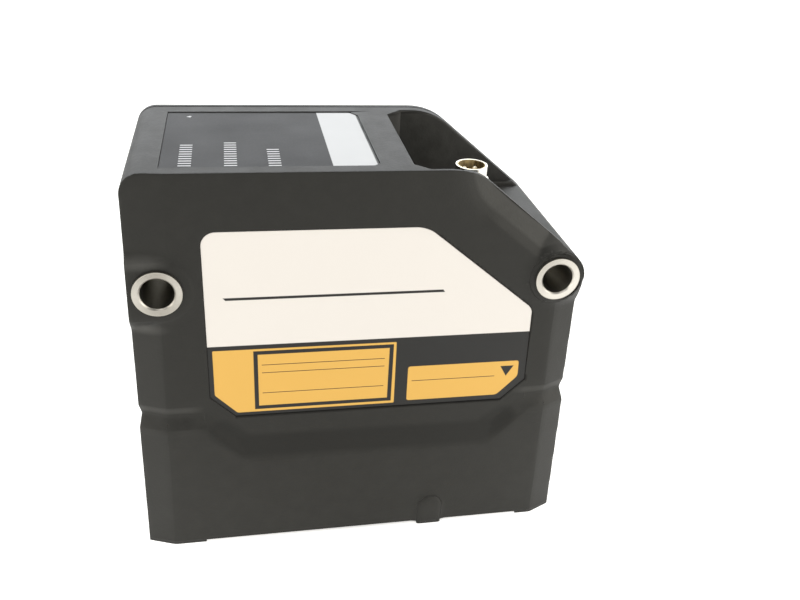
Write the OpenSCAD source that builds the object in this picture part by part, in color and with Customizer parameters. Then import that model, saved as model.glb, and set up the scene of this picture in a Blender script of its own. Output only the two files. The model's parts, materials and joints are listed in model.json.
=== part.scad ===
// Laser displacement sensor head, standing on its sensing face.
// Millimetres. X runs along the long side, Y from the labelled side to the side cover, Z up.

/* [Body] */
// Width across the sensing end
body_w = 97; // [86:0.5:120]
// Height over the top face
body_h = 90; // [84:0.5:110]
// Thickness from the labelled nose face to the side cover's outer face
body_t = 45; // [42:0.5:60]
// Lean of the left side in degrees
left_lean = 1.16; // [0:0.02:2.5]
// Radius of the top left corner
corner_r = 4.5; // [3.6:0.1:8]
// Radius of the turn from the top into the slope
turn_r = 14; // [8:0.5:18]
// Angle of the slope below the top in degrees
slope_angle = 39; // [35:0.5:43]
// Thickness of the side and top walls
wall = 3; // [2.4:0.1:3.4]
// Thickness of the labelled wall behind its upper face
face_wall = 3; // [2.6:0.1:3.6]
// Thickness of the wall on the sensing side
sensing_wall = 4; // [3.6:0.1:5]

/* [Nose] */
// How far the nose stands proud of the labelled face
nose_step = 1; // [0.5:0.1:1.6]
// Height of the nose at its two ends
nose_end_h = 33.2; // [30:0.1:36]
// Height of the nose below the label
nose_mid_h = 22.6; // [18:0.1:25]
// Height of the sloping shoulder at the ends
shoulder_end = 3; // [2:0.1:4]
// Height of the sloping shoulder below the label
shoulder_mid = 6.6; // [4:0.1:8]
// Where the left end of the nose starts to drop
nose_left_x = -34.6; // [-38:0.1:-30]
// Where the right end of the nose starts to drop
nose_right_x = 39.4; // [36:0.1:41]
// Sideways run of each drop
nose_run = 10; // [8:0.1:14]
// Sideways step of the shoulder's upper line at the left end
shoulder_in_left = 0.6; // [0.2:0.1:2]
// Sideways step of the shoulder's upper line at the right end
shoulder_in_right = 2.2; // [0.2:0.1:3]
// Width of the groove above the ends of the nose
groove_w = 5.2; // [3:0.1:7]
// Depth of that groove into the narrow sides
groove_d = 0.6; // [0.3:0.05:1]
// Height of the groove's deepest line
groove_z = 35.2; // [34:0.1:38]
// Overlap of the groove's straight and angled runs
groove_lap = 0.6; // [0.4:0.1:1]

/* [Edge chamfers] */
// Width of the chamfer on the left edge of the labelled side
left_cut_w = 5.9; // [4:0.1:7]
// Depth of the chamfer on the left edge
left_cut_d = 2.2; // [1.4:0.1:2.6]
// Width of the chamfer on the right edge and along the slope
right_cut_w = 5.5; // [4:0.1:7]
// Depth of the chamfer on the right edge and along the slope
right_cut_d = 2.5; // [1.4:0.1:2.7]
// Width of the shallow chamfer above the left pad
upper_cut_w = 8; // [5:0.1:10]
// Depth of the shallow chamfer above the left pad
upper_cut_d = 0.8; // [0.4:0.05:1.4]
// How far the slope's chamfer runs out round the turn
cut_run_out = 6; // [4:0.1:8]
// How far before the turn the slope's chamfer starts to run out
cut_short = 0.5; // [0.3:0.1:2]

/* [Mounting sleeves] */
// Left sleeve's axis left of the middle
sleeve_left_x = 41.4; // [40:0.1:41.8]
// Right sleeve's axis right of the middle
sleeve_right_x = 40.4; // [39:0.1:41.4]
// Distance of both axes below the top face
sleeve_drop = 24.25; // [23:0.05:27]
// Bore of the sleeves
sleeve_bore = 6.6; // [5.3:0.1:6.8]
// Wall of the sleeves
sleeve_wall = 1.5; // [1:0.1:1.6]
// How far the sleeves stand proud of the nose face
sleeve_proud = 0.05; // [0:0.05:0.3]
// Chamfer in the mouths of the sleeves
sleeve_chamfer = 0.3; // [0.1:0.05:0.5]
// Radius of the round right end that the sleeve sits in
boss_r = 6.05; // [5.5:0.05:7]
// How far the right boss stands proud of the labelled face
boss_proud = 0.6; // [0.2:0.05:0.9]
// Radius of the left pad
pad_r = 6.4; // [5.5:0.05:7.5]
// How much wider the round end of the left pad is than its straight part
pad_swell = 0.1; // [0.05:0.05:0.3]
// How far the left pad stands proud of the labelled face
pad_proud = 0.4; // [0.2:0.05:0.9]
// Width of the skirt that runs up to the pad
skirt_w = 3.2; // [1.5:0.1:4]
// Depth of that skirt
skirt_d = 2.6; // [1:0.1:2.8]
// Wall round the sleeves inside the case
tower_wall = 2.2; // [1.9:0.1:2.4]

/* [Connector pocket] */
// Left wall of the pocket
pocket_x = 8.9; // [6:0.1:12]
// Depth of the pocket's floor below the top face
pocket_depth = 18.5; // [17:0.1:18.8]
// Wall between pocket and labelled face
pocket_face_wall = 1.2; // [0.9:0.1:2]
// Wall between pocket and side cover
pocket_cover_wall = 2.6; // [2:0.1:4]
// Wall below and left of the pocket
pocket_wall = 2; // [1.6:0.1:3]
// Cut of the pocket's corner towards the labelled side
pocket_cut_near = 2.7; // [1:0.1:4]
// Cut along X of the pocket's corner towards the cover
pocket_cut_far_x = 3.8; // [1:0.1:5]
// Cut along Y of the pocket's corner towards the cover
pocket_cut_far_y = 3; // [1:0.1:6]
// Height of the ledge along the pocket's far wall
ledge_h = 1; // [0.5:0.1:2]
// Width of that ledge
ledge_w = 1.2; // [0.6:0.1:2.5]

/* [Connector] */
// Connector axis right of the middle
plug_x = 25.4; // [22:0.1:28]
// Connector axis from the middle of the thickness
plug_y = -0.7; // [-4:0.1:4]
// Height of the connector above the pocket's floor
plug_h = 12.1; // [10:0.1:13]
// Outer diameter at the rim
plug_d = 7; // [6.6:0.1:8]
// Wall of the shell at the rim
plug_wall = 0.55; // [0.4:0.05:0.8]
// Length of the plain rim above the collar
plug_rim_h = 3; // [2:0.1:5]
// Outer diameter of the collar
plug_collar_d = 8; // [7.6:0.1:9]
// Outer diameter of the flange
plug_flange_d = 12; // [11:0.1:14]
// Thickness of the flange
plug_flange_t = 1.6; // [1.2:0.1:2.4]
// Depth of the socket from the rim
socket_depth = 5; // [4:0.1:8]
// Diameter of the shank through the pocket's floor
shank_d = 6.8; // [6.4:0.1:7.2]
// Length of the shank below the pocket's floor
shank_l = 6; // [5:0.1:8]
// Bore of the shank for the insert
shank_bore = 5; // [4.4:0.1:5.4]
// Width across the flats of the nut
nut_af = 10; // [9:0.1:11]
// Thickness of the nut
nut_t = 2.4; // [2:0.1:3]
// Width of the connector's seal
plug_seal_w = 1; // [0.6:0.05:1.2]
// Thickness of the connector's seal
plug_seal_t = 0.8; // [0.5:0.05:1]
// Pin diameter
pin_d = 1; // [0.7:0.05:1.1]
// Spacing of the pins
pin_pitch = 2.4; // [2:0.05:2.6]
// Length of the pins above the insert
pin_l = 4.1; // [3:0.1:5]
// Length of the pins below the insert
pin_tail = 1.5; // [1:0.1:2.5]
// Diameter of the leads
lead_d = 1; // [0.6:0.05:1.2]
// Drop of the upper pair of leads below the pin tails
lead_drop = 1.5; // [1:0.1:2]
// Further drop of the lower pair of leads
lead_step = 1.6; // [1.4:0.1:2]

/* [Side cover] */
// Thickness of the side cover
cover_t = 2.15; // [1.8:0.05:3]
// Height of the cover's locating lip
lip_h = 1.5; // [1:0.1:2.5]
// Thickness of that lip
lip_t = 1.4; // [1:0.1:2]
// Width of the seam groove round the cover
seam_w = 0.5; // [0.2:0.05:0.8]
// Depth of the seam groove
seam_d = 0.4; // [0.2:0.05:0.6]
// Width of the cover's seal
seal_w = 1.2; // [0.8:0.05:1.3]
// Depth of the seal's groove
seal_t = 1; // [0.6:0.05:1.6]
// Land between the cavity and the seal
seal_land = 0.4; // [0.3:0.05:0.6]
// Diameter of the cover screws' shank
cover_screw_d = 2.5; // [2:0.1:2.6]
// Head diameter of the cover screws
cover_head_d = 5; // [4.4:0.1:5.4]
// Length of the cover screws
cover_screw_l = 10; // [8:0.5:14]
// Radius of the screw bosses in the case
screw_boss_r = 3.4; // [3.2:0.1:4]
// Height of the lowest cover screws
low_screw_z = 9; // [8:0.1:11]
// Height of the middle cover screws
mid_screw_z = 46; // [42:0.5:50]
// Distance of the lowest and middle cover screws from the middle
side_screw_x = 42; // [40:0.1:42.4]
// Distance of the upper cover screws below the top
top_screw_drop = 6; // [5.6:0.1:8]
// Left upper cover screw left of the middle
top_screw_left = 42; // [41.6:0.1:42.4]
// Right upper cover screw right of the middle
top_screw_right = 2; // [-4:0.1:3.2]
// Width of the cross recess in screw heads
recess_w = 0.5; // [0.3:0.05:0.8]
// Depth of the cross recess in screw heads
recess_d = 0.7; // [0.4:0.05:1]

/* [Labels] */
// Thickness of the side label
label_t = 0.25; // [0.1:0.05:0.4]
// Depth of the side label's recess
label_recess = 0.35; // [0.2:0.05:0.6]
// Left edge of the side label
label_left = -32.8; // [-33.5:0.1:-28]
// Distance of the side label's upper edge below the top face
label_drop = 11.8; // [10:0.1:16]
// Bottom edge of the side label
label_bottom = 34.7; // [33:0.1:40]
// Right edge of the side label at its lower corner
label_right = 36.8; // [32:0.1:37]
// Distance from the slope to the label's sloping edge
label_margin = 14.5; // [12:0.1:17]
// Size of the label's cut lower corners
label_cut = 5.2; // [2:0.1:8]
// Radius of the label's upper left corner
label_r_left = 3; // [0.5:0.1:5]
// Radius of the label's turn into the sloping edge
label_r_turn = 7; // [0.5:0.1:9]
// Radius of the label's right corner
label_r_right = 2.6; // [0.5:0.1:4]
// Left edge of the top label's recess
top_label_left = -39.6; // [-41:0.1:-38.4]
// Wall between the top label's recess and the connector pocket
top_margin_right = 6.8; // [3:0.1:12]
// Margin from the labelled face to the top label's recess
top_margin_near = 3.2; // [1:0.1:5]
// Margin from the cover's seam to the top label's recess
top_margin_far = 3.7; // [2:0.1:6]
// Cut along X of the recess's right corner towards the cover
top_cut_x = 1.7; // [0.5:0.1:3]
// Cut along Y of the recess's right corner towards the cover
top_cut_y = 2.7; // [0.5:0.1:4]
// Cut of the recess's right corner towards the labelled side
top_cut_near = 1.2; // [0.3:0.1:2]
// Depth of the top label's recess
top_recess = 0.4; // [0.2:0.05:0.6]
// Thickness of the top label
top_label_t = 0.25; // [0.1:0.05:0.4]

/* [Sensing face] */
// Height of the feet
foot_h = 0.6; // [0.3:0.05:1.2]
// Inner end of the left foot
foot_left_x = -35.6; // [-38:0.1:-34]
// Inner end of the right foot
foot_right_x = 39.2; // [38:0.1:41]
// Middle of the tab on the labelled edge
tab_x = 17; // [10:0.1:24]
// Width of the tab
tab_w = 5.8; // [4:0.1:8]
// Height of the tab
tab_h = 8.2; // [6:0.1:12]
// How far the tab stands proud of the nose
tab_proud = 0.6; // [0.3:0.05:1]
// Receiving axis left of the middle
receive_x = 19; // [17:0.1:20]
// Sending axis right of the middle
send_x = 32; // [30:0.1:33]
// Size of the receiving window
receive_win = 31; // [29:0.1:33]
// Clear opening behind the receiving window
receive_open = 26; // [24:0.1:28]
// Size of the sending window
send_win = 14; // [13:0.1:16]
// Clear opening behind the sending window
send_open = 10; // [9:0.1:11]
// Corner radius of the windows
win_r = 2; // [1:0.1:3]
// Thickness of the windows
win_t = 1.8; // [1.2:0.1:2]
// Thickness of the windows' seals
win_seal_t = 0.6; // [0.4:0.05:0.8]
// How far the windows lie back from the sensing face
win_back = 0.2; // [0.1:0.05:0.4]

/* [Optics] */
// Height of the standoffs on the labelled wall
standoff_h = 3; // [2:0.1:3.4]
// Radius of the standoffs
standoff_r = 3.4; // [3:0.1:4]
// Thickness of the chassis plate
plate_t = 2; // [1.6:0.1:2.4]
// Gap from the sensing wall to the chassis plate
plate_rise = 4; // [2:0.1:6]
// Gap from the walls round the sleeves to the chassis plate
plate_gap = 1.15; // [0.5:0.05:3]
// Left edge of the chassis plate
plate_left = -38.3; // [-38.4:0.1:-37]
// Right edge of the chassis plate
plate_right = 38.3; // [36:0.1:38.4]
// Outer diameter of the receiver barrel
barrel_d = 26; // [25:0.1:26.6]
// Wall of the receiver barrel
barrel_wall = 1.4; // [1:0.1:1.8]
// Length of the receiver barrel
barrel_l = 42; // [38:0.5:43]
// Gap from the sensing wall to the barrel and laser holder
barrel_rise = 2; // [1:0.1:3]
// Thickness of the barrel's closed end
barrel_end_t = 2.4; // [2:0.1:3.4]
// Height of the lens seat in the barrel
lens_seat_h = 3; // [2:0.1:5]
// Width of the lens seat's rim
lens_rim = 1.2; // [0.8:0.1:2]
// Edge thickness of the receiver lens
lens_edge = 3; // [2:0.1:5]
// Radius of the receiver lens's curved face
lens_r = 20; // [16:0.5:40]
// Width of the filter
filter_w = 16; // [14:0.1:17]
// Depth of the filter along the thickness
filter_y = 10; // [8:0.1:12]
// Thickness of the filter
filter_t = 1; // [0.6:0.05:1.4]
// Rim under the filter
filter_rim = 1; // [0.6:0.1:1.6]
// Width of the image sensor
imager_w = 14; // [10:0.1:15]
// Depth of the image sensor along the thickness
imager_y = 9; // [6:0.1:11]
// Thickness of the image sensor
imager_t = 1.6; // [1:0.1:2]
// Width of the sensor board
sensor_board_w = 25; // [24.5:0.1:26]
// Depth of the sensor board along the thickness
sensor_board_y = 20; // [16:0.1:22]
// Distance of the sensor board's screws from its middle
sensor_screw_x = 10.2; // [10:0.1:10.6]
// Radius of the posts under the sensor board
sensor_post_r = 2; // [1.6:0.1:2]
// Width of the saddle for the barrel
saddle_w = 30; // [28:0.5:31]
// Height of the saddle above the plate's lower edge
saddle_z = 16; // [12:0.5:17]
// Height of the saddle along the barrel
saddle_h = 12; // [8:0.5:16]
// Depth of the saddle
saddle_y = 9; // [6:0.1:11]
// Outer diameter of the laser holder
holder_d = 12; // [11:0.1:12.6]
// Bore of the laser holder
holder_bore = 8.2; // [7.8:0.1:8.6]
// Length of the laser holder
holder_l = 32; // [28:0.5:36]
// Width of the block round the laser holder
block_w = 16; // [15:0.1:16.8]
// Height of the block round the laser holder
block_h = 12; // [8:0.5:16]
// Wall of that block on the cover's side
block_wall = 2; // [1.5:0.1:3]
// Aperture below the collimator lens
aperture_d = 6; // [4:0.1:7]
// Thickness of the aperture's rim
aperture_t = 2; // [1:0.1:3]
// Edge thickness of the collimator lens
collimator_edge = 2; // [1.4:0.1:3]
// Radius of the collimator lens's curved face
collimator_r = 8; // [6:0.5:16]
// Flange diameter of the laser diode
diode_flange_d = 9; // [8.8:0.1:9.4]
// Thickness of the laser diode's flange
diode_flange_t = 1.5; // [1:0.1:2]
// Diameter of the laser diode's can
diode_can_d = 6.4; // [5:0.1:7]
// Height of the laser diode's can
diode_can_h = 3.5; // [3:0.1:5]
// Diameter of the laser diode's legs
diode_leg_d = 0.5; // [0.4:0.05:0.6]
// Radius of the circle of the legs
diode_leg_r = 1.3; // [1:0.05:1.8]
// Length of the legs above the flange
diode_leg_l = 4; // [3:0.1:5]

/* [Boards] */
// Thickness of the boards
board_t = 1.6; // [1:0.1:2]
// Gap between the side cover and the main board
board_back = 4.2; // [4:0.1:4.4]
// Width of the main board below the sleeves
main_board_w = 76; // [74:0.5:76.5]
// Gap from the walls round the sleeves to the wide part of the main board
board_low_gap = 2.15; // [1:0.05:3]
// Width of the main board between the sleeves
main_board_top_w = 66; // [62:0.5:66.5]
// Gap from the pocket's floor wall to the main board
board_top_gap = 4.9; // [4:0.1:6]
// Distance of the left posts from the middle
post_left = 35; // [34.8:0.1:35.6]
// Distance of the right posts from the middle
post_right = 10; // [6:0.1:14]
// Height of the lower posts above the sensing wall
post_low = 9; // [8:0.1:11]
// Distance of the upper posts below the plate's upper edge
post_drop = 6; // [5:0.1:7]
// Radius of the posts
post_r = 2.4; // [2:0.1:2.4]
// Side of the square laser board
laser_board_w = 14; // [12:0.1:15]
// Distance from the laser diode's flange to the laser board
laser_board_rise = 2; // [1.5:0.1:2.4]
// Thickness of the flat leads
flex_t = 0.3; // [0.2:0.05:0.4]
// Width of the flat leads
flex_w = 8; // [5:0.1:10]
// Length of the flat leads along the main board
flex_drop = 7; // [4:0.1:9]
// Length of the flat leads along the small boards
flex_lap = 3; // [2:0.1:5]
// Side of the large chip
chip_big = 14; // [10:0.5:16]
// Side of the small chips
chip_small = 7; // [5:0.5:8]
// Thickness of the chips
chip_t = 1.4; // [1:0.1:2]
// Spacing of the chips' middles
chip_pitch = 17; // [16:0.5:20]
// Height of the chips' middles above the main board's lower edge
chip_z = 30; // [26:0.5:36]
// Shank diameter of the small screws
screw_d = 1.9; // [1.6:0.1:2]
// Head diameter of the small screws
screw_head_d = 3.8; // [3.4:0.1:4]
// Head height of the small screws
screw_head_t = 1.4; // [1:0.1:1.6]
// Length of the small screws below the head
screw_l = 5; // [4:0.1:5.4]
// Shank diameter of the chassis screws
chassis_screw_d = 2.5; // [2:0.1:3]
// Head diameter of the chassis screws
chassis_head_d = 5; // [4.4:0.1:5.4]
// Head height of the chassis screws
chassis_head_t = 2; // [1.4:0.1:2.4]
// Gap from the chassis screws' heads to the saddle
chassis_head_gap = 0.5; // [0.3:0.1:1]
// Length of the chassis screws below the head
chassis_screw_l = 6; // [4.5:0.1:6.4]
// Left edge of the indicator board
led_board_left = -38.5; // [-39:0.1:-37]
// Width of the indicator board
led_board_w = 24.5; // [24:0.1:28]
// Depth of the indicator board along the thickness
led_board_y = 18; // [16:0.1:20]
// Distance of the indicator board below the top face
led_board_drop = 14; // [13:0.1:16]
// Leftmost indicator
led_x = -34.8; // [-35.4:0.1:-34]
// Spacing of the indicators
led_pitch = 8.5; // [8:0.1:9]
// Indicators from the middle of the thickness
led_y = 4; // [0:0.1:6]
// Length of an indicator along X
led_l = 3; // [2:0.1:3.6]
// Width of an indicator along Y
led_w = 1.6; // [1:0.1:2]
// Height of an indicator
led_h = 1.2; // [0.8:0.1:1.6]
// Length of a light guide along X
guide_l = 5; // [4:0.1:6]
// Width of a light guide along Y
guide_w = 2.2; // [2:0.1:3]
// Rim of a light guide below the top wall
guide_rim = 0.8; // [0.5:0.1:1]
// Thickness of that rim
guide_rim_t = 1; // [0.6:0.1:1.4]
// Indicator board screws from the middle of the thickness
led_screw_y = 11; // [10:0.1:11.4]
// Radius of the posts for the indicator board
led_post_r = 2.4; // [2.2:0.1:2.6]

/* [Fits] */
// Gap round pieces that are pushed or bonded in
fit_gap = 0.05; // [0.02:0.01:0.1]
// Gap round labels, lips and windows
slip_gap = 0.1; // [0.05:0.01:0.2]
// Gap round screws in plates
screw_gap = 0.2; // [0.1:0.05:0.3]

/* [Hidden] */
$fn = 48;

// Reach past a face that is cut
over = 1;
// Reach past the whole body
beyond = 2 * body_w;

// Places across the thickness
y_far = (body_t + tab_proud) / 2;
y_nose = y_far - body_t;
y_face = y_nose + nose_step;
y_seam = y_far - cover_t;
y_in = y_face + face_wall;
y_plate = y_in + standoff_h;
y_plate_top = y_plate + plate_t;
y_chassis_hole = y_plate_top - chassis_screw_l - screw_gap;
y_axis = y_plate_top + barrel_d / 2 + slip_gap;
y_board = y_far - cover_t - board_back - board_t;

// Places up the height
z_in = foot_h + sensing_wall;
z_plate = z_in + plate_rise;
z_barrel = z_in + barrel_rise;
z_barrel_top = z_barrel + barrel_l;
z_sensor_board = z_barrel_top + imager_t;
z_holder_top = z_barrel + holder_l;
z_laser_board = z_holder_top + laser_board_rise;
z_block = z_plate + saddle_z;
z_led_board = body_h - led_board_drop;
sleeve_z = body_h - sleeve_drop;
pocket_z = body_h - pocket_depth;
label_top = body_h - label_drop;
z_top_recess = body_h - top_recess;
z_rim = pocket_z + plug_h;
z_insert_top = z_rim - socket_depth;
z_shank = pocket_z - shank_l;
z_tails = z_shank - pin_tail;

sleeve_r = sleeve_bore / 2 + sleeve_wall;
tower_r = sleeve_r + tower_wall;
z_plate_top = sleeve_z - tower_r - plate_gap;
z_post_low = z_in + post_low;
z_post_high = z_plate_top - post_drop;
z_board_mid = sleeve_z - tower_r - board_low_gap;
z_board_top = pocket_z - pocket_wall - board_top_gap;
left_axis = [-sleeve_left_x, sleeve_z];
right_axis = [sleeve_right_x, sleeve_z];
to_boss = right_axis - [body_w / 2, 0];
right_lean = atan2(-to_boss[0], to_boss[1]) - asin(boss_r / norm(to_boss));
slope_n = [sin(slope_angle), cos(slope_angle)];
side_n = [cos(right_lean), sin(right_lean)];
slope_at = right_axis * slope_n + boss_r;
top_turn = [(slope_at - body_h * slope_n[1]) / slope_n[0], body_h];
boss_turn = right_axis + boss_r * (side_n + slope_n) / (1 + side_n * slope_n);
outline = [[-body_w / 2, 0], [body_w / 2, 0], boss_turn, top_turn,
    [body_h * tan(left_lean) - body_w / 2, body_h]];
outline_r = [0, 0, boss_r, turn_r, corner_r];
turn_back = turn_r * tan(slope_angle / 2);
slope_end = top_turn + turn_back * [slope_n[1], -slope_n[0]];

// Turns of the chamfer's run-out
turn_mid = [top_turn[0] - turn_back, body_h - turn_r];
run_x = slope_end[0] - cut_run_out;
run_end = [run_x, turn_mid[1] + sqrt(turn_r * turn_r - pow(run_x - turn_mid[0], 2))];

// Lower and upper line of the shoulder, from left to right
groove_low = groove_z - groove_w / 2;
groove_high = groove_z + groove_w / 2;
left_groove_x = groove_z * tan(left_lean) - body_w / 2 + left_cut_w;
right_groove_x = body_w / 2 - groove_z * tan(right_lean) - right_cut_w;
drop = nose_end_h - nose_mid_h;
top_run = nose_run * (drop + shoulder_end - shoulder_mid) / drop;
shoulder_low = nose_mid_h + shoulder_mid;
shoulder_high = nose_end_h + shoulder_end;
foot_line = [[nose_left_x, nose_end_h], [nose_left_x + nose_run, nose_mid_h],
    [nose_right_x - nose_run, nose_mid_h], [nose_right_x, nose_end_h]];
top_left = nose_left_x + shoulder_in_left;
top_right = nose_right_x - shoulder_in_right;
top_line = [[top_left, shoulder_high], [top_left + top_run, shoulder_low],
    [top_right - top_run, shoulder_low], [top_right, shoulder_high]];

label_slope_at = slope_at - label_margin;
label_side = [label_right - (label_top - label_bottom) * tan(right_lean), label_top];
label_down = [label_right, label_bottom + label_cut];
label_line = (label_side - label_down) / norm(label_side - label_down);
label_meet = label_down + label_line * (label_slope_at - label_down * slope_n) / (label_line * slope_n);
label_outline = [[label_left + label_cut, label_bottom], [label_right - label_cut, label_bottom], label_down,
    label_meet, [(label_slope_at - label_top * slope_n[1]) / slope_n[0], label_top], [label_left, label_top],
    [label_left, label_bottom + label_cut]];
label_radii = [0, 0, 0, label_r_right, label_r_turn, label_r_left, 0];

pocket_near = y_face + pocket_face_wall;
pocket_far = y_seam - pocket_cover_wall;
cover_points = [[-side_screw_x, low_screw_z], [side_screw_x, low_screw_z], [-side_screw_x, mid_screw_z],
    [side_screw_x, mid_screw_z], [-top_screw_left, body_h - top_screw_drop],
    [top_screw_right, body_h - top_screw_drop]];
chassis_low = z_block - chassis_head_d / 2 - chassis_head_gap;
chassis_high = z_block + saddle_h + chassis_head_d / 2 + chassis_head_gap;
chassis_points = [[-post_left, chassis_low], [-post_left, chassis_high], [post_right, chassis_low],
    [post_right, chassis_high]];
post_points = [[-post_left, z_post_low], [-post_left, z_post_high], [post_right, z_post_low],
    [post_right, z_post_high]];
led_points = [for (i = [0:2]) led_x + i * led_pitch];
led_screws = [for (i = [0:1]) led_x + (i + 0.5) * led_pitch];
pin_points = [for (sx = [-1, 1], sy = [-1, 1]) [sx, sy] * pin_pitch / 2];
lens_d = barrel_d - 2 * barrel_wall - 2 * fit_gap;
collimator_d = holder_bore - 2 * fit_gap;

charcoal = [0.2, 0.2, 0.21];
steel = [0.78, 0.77, 0.74];
gold = [0.83, 0.66, 0.3];
board_green = [0.12, 0.35, 0.2];
clear_glass = [0.8, 0.88, 0.9, 0.4];
rubber_black = [0.07, 0.07, 0.07];

function unit(v) = v / norm(v);
function edge_normal(a, b) = let (d = unit(b - a)) [d[1], -d[0]];
function before(p, i) = p[(i + len(p) - 1) % len(p)];
function after(p, i) = p[(i + 1) % len(p)];
function mitre(m, k) = (m + k) / (1 + m * k);
function grown(p, g) = [for (i = [0:len(p) - 1])
    p[i] + g * mitre(edge_normal(before(p, i), p[i]), edge_normal(p[i], after(p, i)))];
function half_angle(a, p, b) = acos(unit(a - p) * unit(b - p)) / 2;
function tangents(a, p, b, r) = let (t = r / tan(half_angle(a, p, b)))
    [p + t * unit(a - p), p + t * unit(b - p)];
function arc_middle(a, p, b, r) = p + unit(unit(a - p) + unit(b - p)) * r / sin(half_angle(a, p, b));

// Outline with rounded corners, grown by g, or shrunk where g is negative
module soft_outline(points, radii, g) {
    q = grown(points, g);
    r = [for (v = radii) max(v + g, 0)];
    last = len(q) - 1;
    polygon([for (i = [0:last]) each r[i] > 0 ? tangents(before(q, i), q[i], after(q, i), r[i]) : [q[i]]]);
    for (i = [0:last])
        if (r[i] > 0)
            translate(arc_middle(before(q, i), q[i], after(q, i), r[i]))
                circle(r[i]);
}

// Stands an outline in the XZ plane and gives it thickness from y0 to y1
module along_y(y0, y1) {
    translate([0, y1, 0])
        rotate([90, 0, 0])
            linear_extrude(y1 - y0)
                children();
}

// Round bar along Y
module bar_y(at, r, y0, y1) {
    translate([at[0], y1, at[1]])
        rotate([90, 0, 0])
            cylinder(r = r, h = y1 - y0);
}

// Block between two corners
module block(a, b) {
    translate(a)
        cube(b - a);
}

module side_outline(g) {
    soft_outline(outline, outline_r, g);
}

// Inside of the case as seen from the cover, shrunk by e
module cavity_outline(e) {
    difference() {
        intersection() {
            side_outline(-wall - e);
            translate([-beyond, z_in + e])
                square(2 * beyond);
        }
        translate([pocket_x - pocket_wall - e, pocket_z - pocket_wall - e])
            square(beyond);
        for (p = [left_axis, right_axis])
            translate(p)
                circle(tower_r + e);
        for (p = cover_points)
            translate(p)
                circle(screw_boss_r + e);
    }
}

// Wedge that takes a chamfer w wide and d deep off an edge that runs up from the origin
module edge_wedge(w, d, z0, z1) {
    translate([0, 0, z0])
        linear_extrude(z1 - z0)
            polygon([[-1.5 * w, -d / 2], [w / 2, -d / 2], [w / 2, 1.5 * d]]);
}

// Ramp cut between a lower edge a-b on the nose and an upper edge d-c on the labelled face
module ramp_cut(a, b, c, d) {
    front = y_nose - over;
    polyhedron(
        [[a[0], front, a[1]], [b[0], front, b[1]], [c[0], front, c[1]], [d[0], front, d[1]],
            [a[0], y_nose, a[1]], [b[0], y_nose, b[1]], [c[0], y_face, c[1]], [d[0], y_face, d[1]]],
        [[0, 3, 2, 1], [4, 5, 6, 7], [0, 1, 5, 4], [3, 7, 6, 2], [0, 4, 7, 3], [1, 2, 6, 5]]);
}

// Profile in the YZ plane drawn out from x0 to x1
module along_x(x0, x1) {
    translate([x0, 0, 0])
        rotate([90, 0, 90])
            linear_extrude(x1 - x0)
                children();
}

// Ramp and groove above one end of the nose, with the labelled face at y = 0
module groove_profile() {
    front = -nose_step - over;
    polygon([[front, groove_low], [-nose_step, groove_low], [groove_d, groove_z], [0, groove_high],
        [front, groove_high]]);
}

// Takes the labelled face back behind the nose
module face_cuts() {
    along_y(y_nose - over, y_face)
        polygon([[-beyond, shoulder_high], top_line[0], top_line[1], top_line[2], top_line[3],
            [beyond, shoulder_high], [beyond, beyond], [-beyond, beyond]]);
    for (i = [0:2])
        ramp_cut(foot_line[i], foot_line[i + 1], top_line[i + 1], top_line[i]);
    translate([0, y_face, 0]) {
        along_x(left_groove_x - groove_lap, top_left)
            groove_profile();
        along_x(top_right, right_groove_x + groove_lap)
            groove_profile();
    }
    translate([left_groove_x, y_face, 0])
        rotate([0, 0, -atan2(left_cut_d, left_cut_w)])
            along_x(-2 * left_cut_w, 0)
                groove_profile();
    translate([right_groove_x, y_face, 0])
        rotate([0, 0, atan2(right_cut_d, right_cut_w)])
            along_x(0, 2 * right_cut_w)
                groove_profile();
}

// Grooves across the narrow sides
module side_grooves() {
    left = groove_z * tan(left_lean) - body_w / 2;
    right = body_w / 2 - groove_z * tan(right_lean);
    along_y(-beyond, beyond) {
        polygon([[left + groove_d, groove_z], [left - groove_d, groove_z + groove_w],
            [left - groove_d, groove_z - groove_w]]);
        polygon([[right - groove_d, groove_z], [right + groove_d, groove_z - groove_w],
            [right + groove_d, groove_z + groove_w]]);
    }
}

// Point of the side view at depth y
function at_y(p, y) = [p[0], y, p[1]];

// Chamfer along the slope, with its run-out round the turn
module slope_chamfer() {
    start = right_axis + boss_r * slope_n;
    end = slope_end + cut_short * [slope_n[1], -slope_n[0]];
    from_in = at_y(start - right_cut_w * slope_n, y_face);
    from_out = 2 * at_y(start, y_face + right_cut_d) - from_in;
    from_front = at_y(start + right_cut_w * slope_n, y_face - right_cut_w);
    end_in = at_y(end - right_cut_w * slope_n, y_face);
    end_out = 2 * at_y(end, y_face + right_cut_d) - end_in;
    end_front = at_y(end + right_cut_w * slope_n, y_face - right_cut_w);
    run = 2 * at_y(run_end, y_face) - end_in;
    polyhedron([from_in, from_out, from_front, end_in, end_out, end_front, run],
        [[0, 2, 1], [0, 1, 4, 3], [0, 3, 5, 2], [1, 2, 5, 4], [3, 4, 6], [3, 6, 5], [4, 5, 6]]);
}

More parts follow.
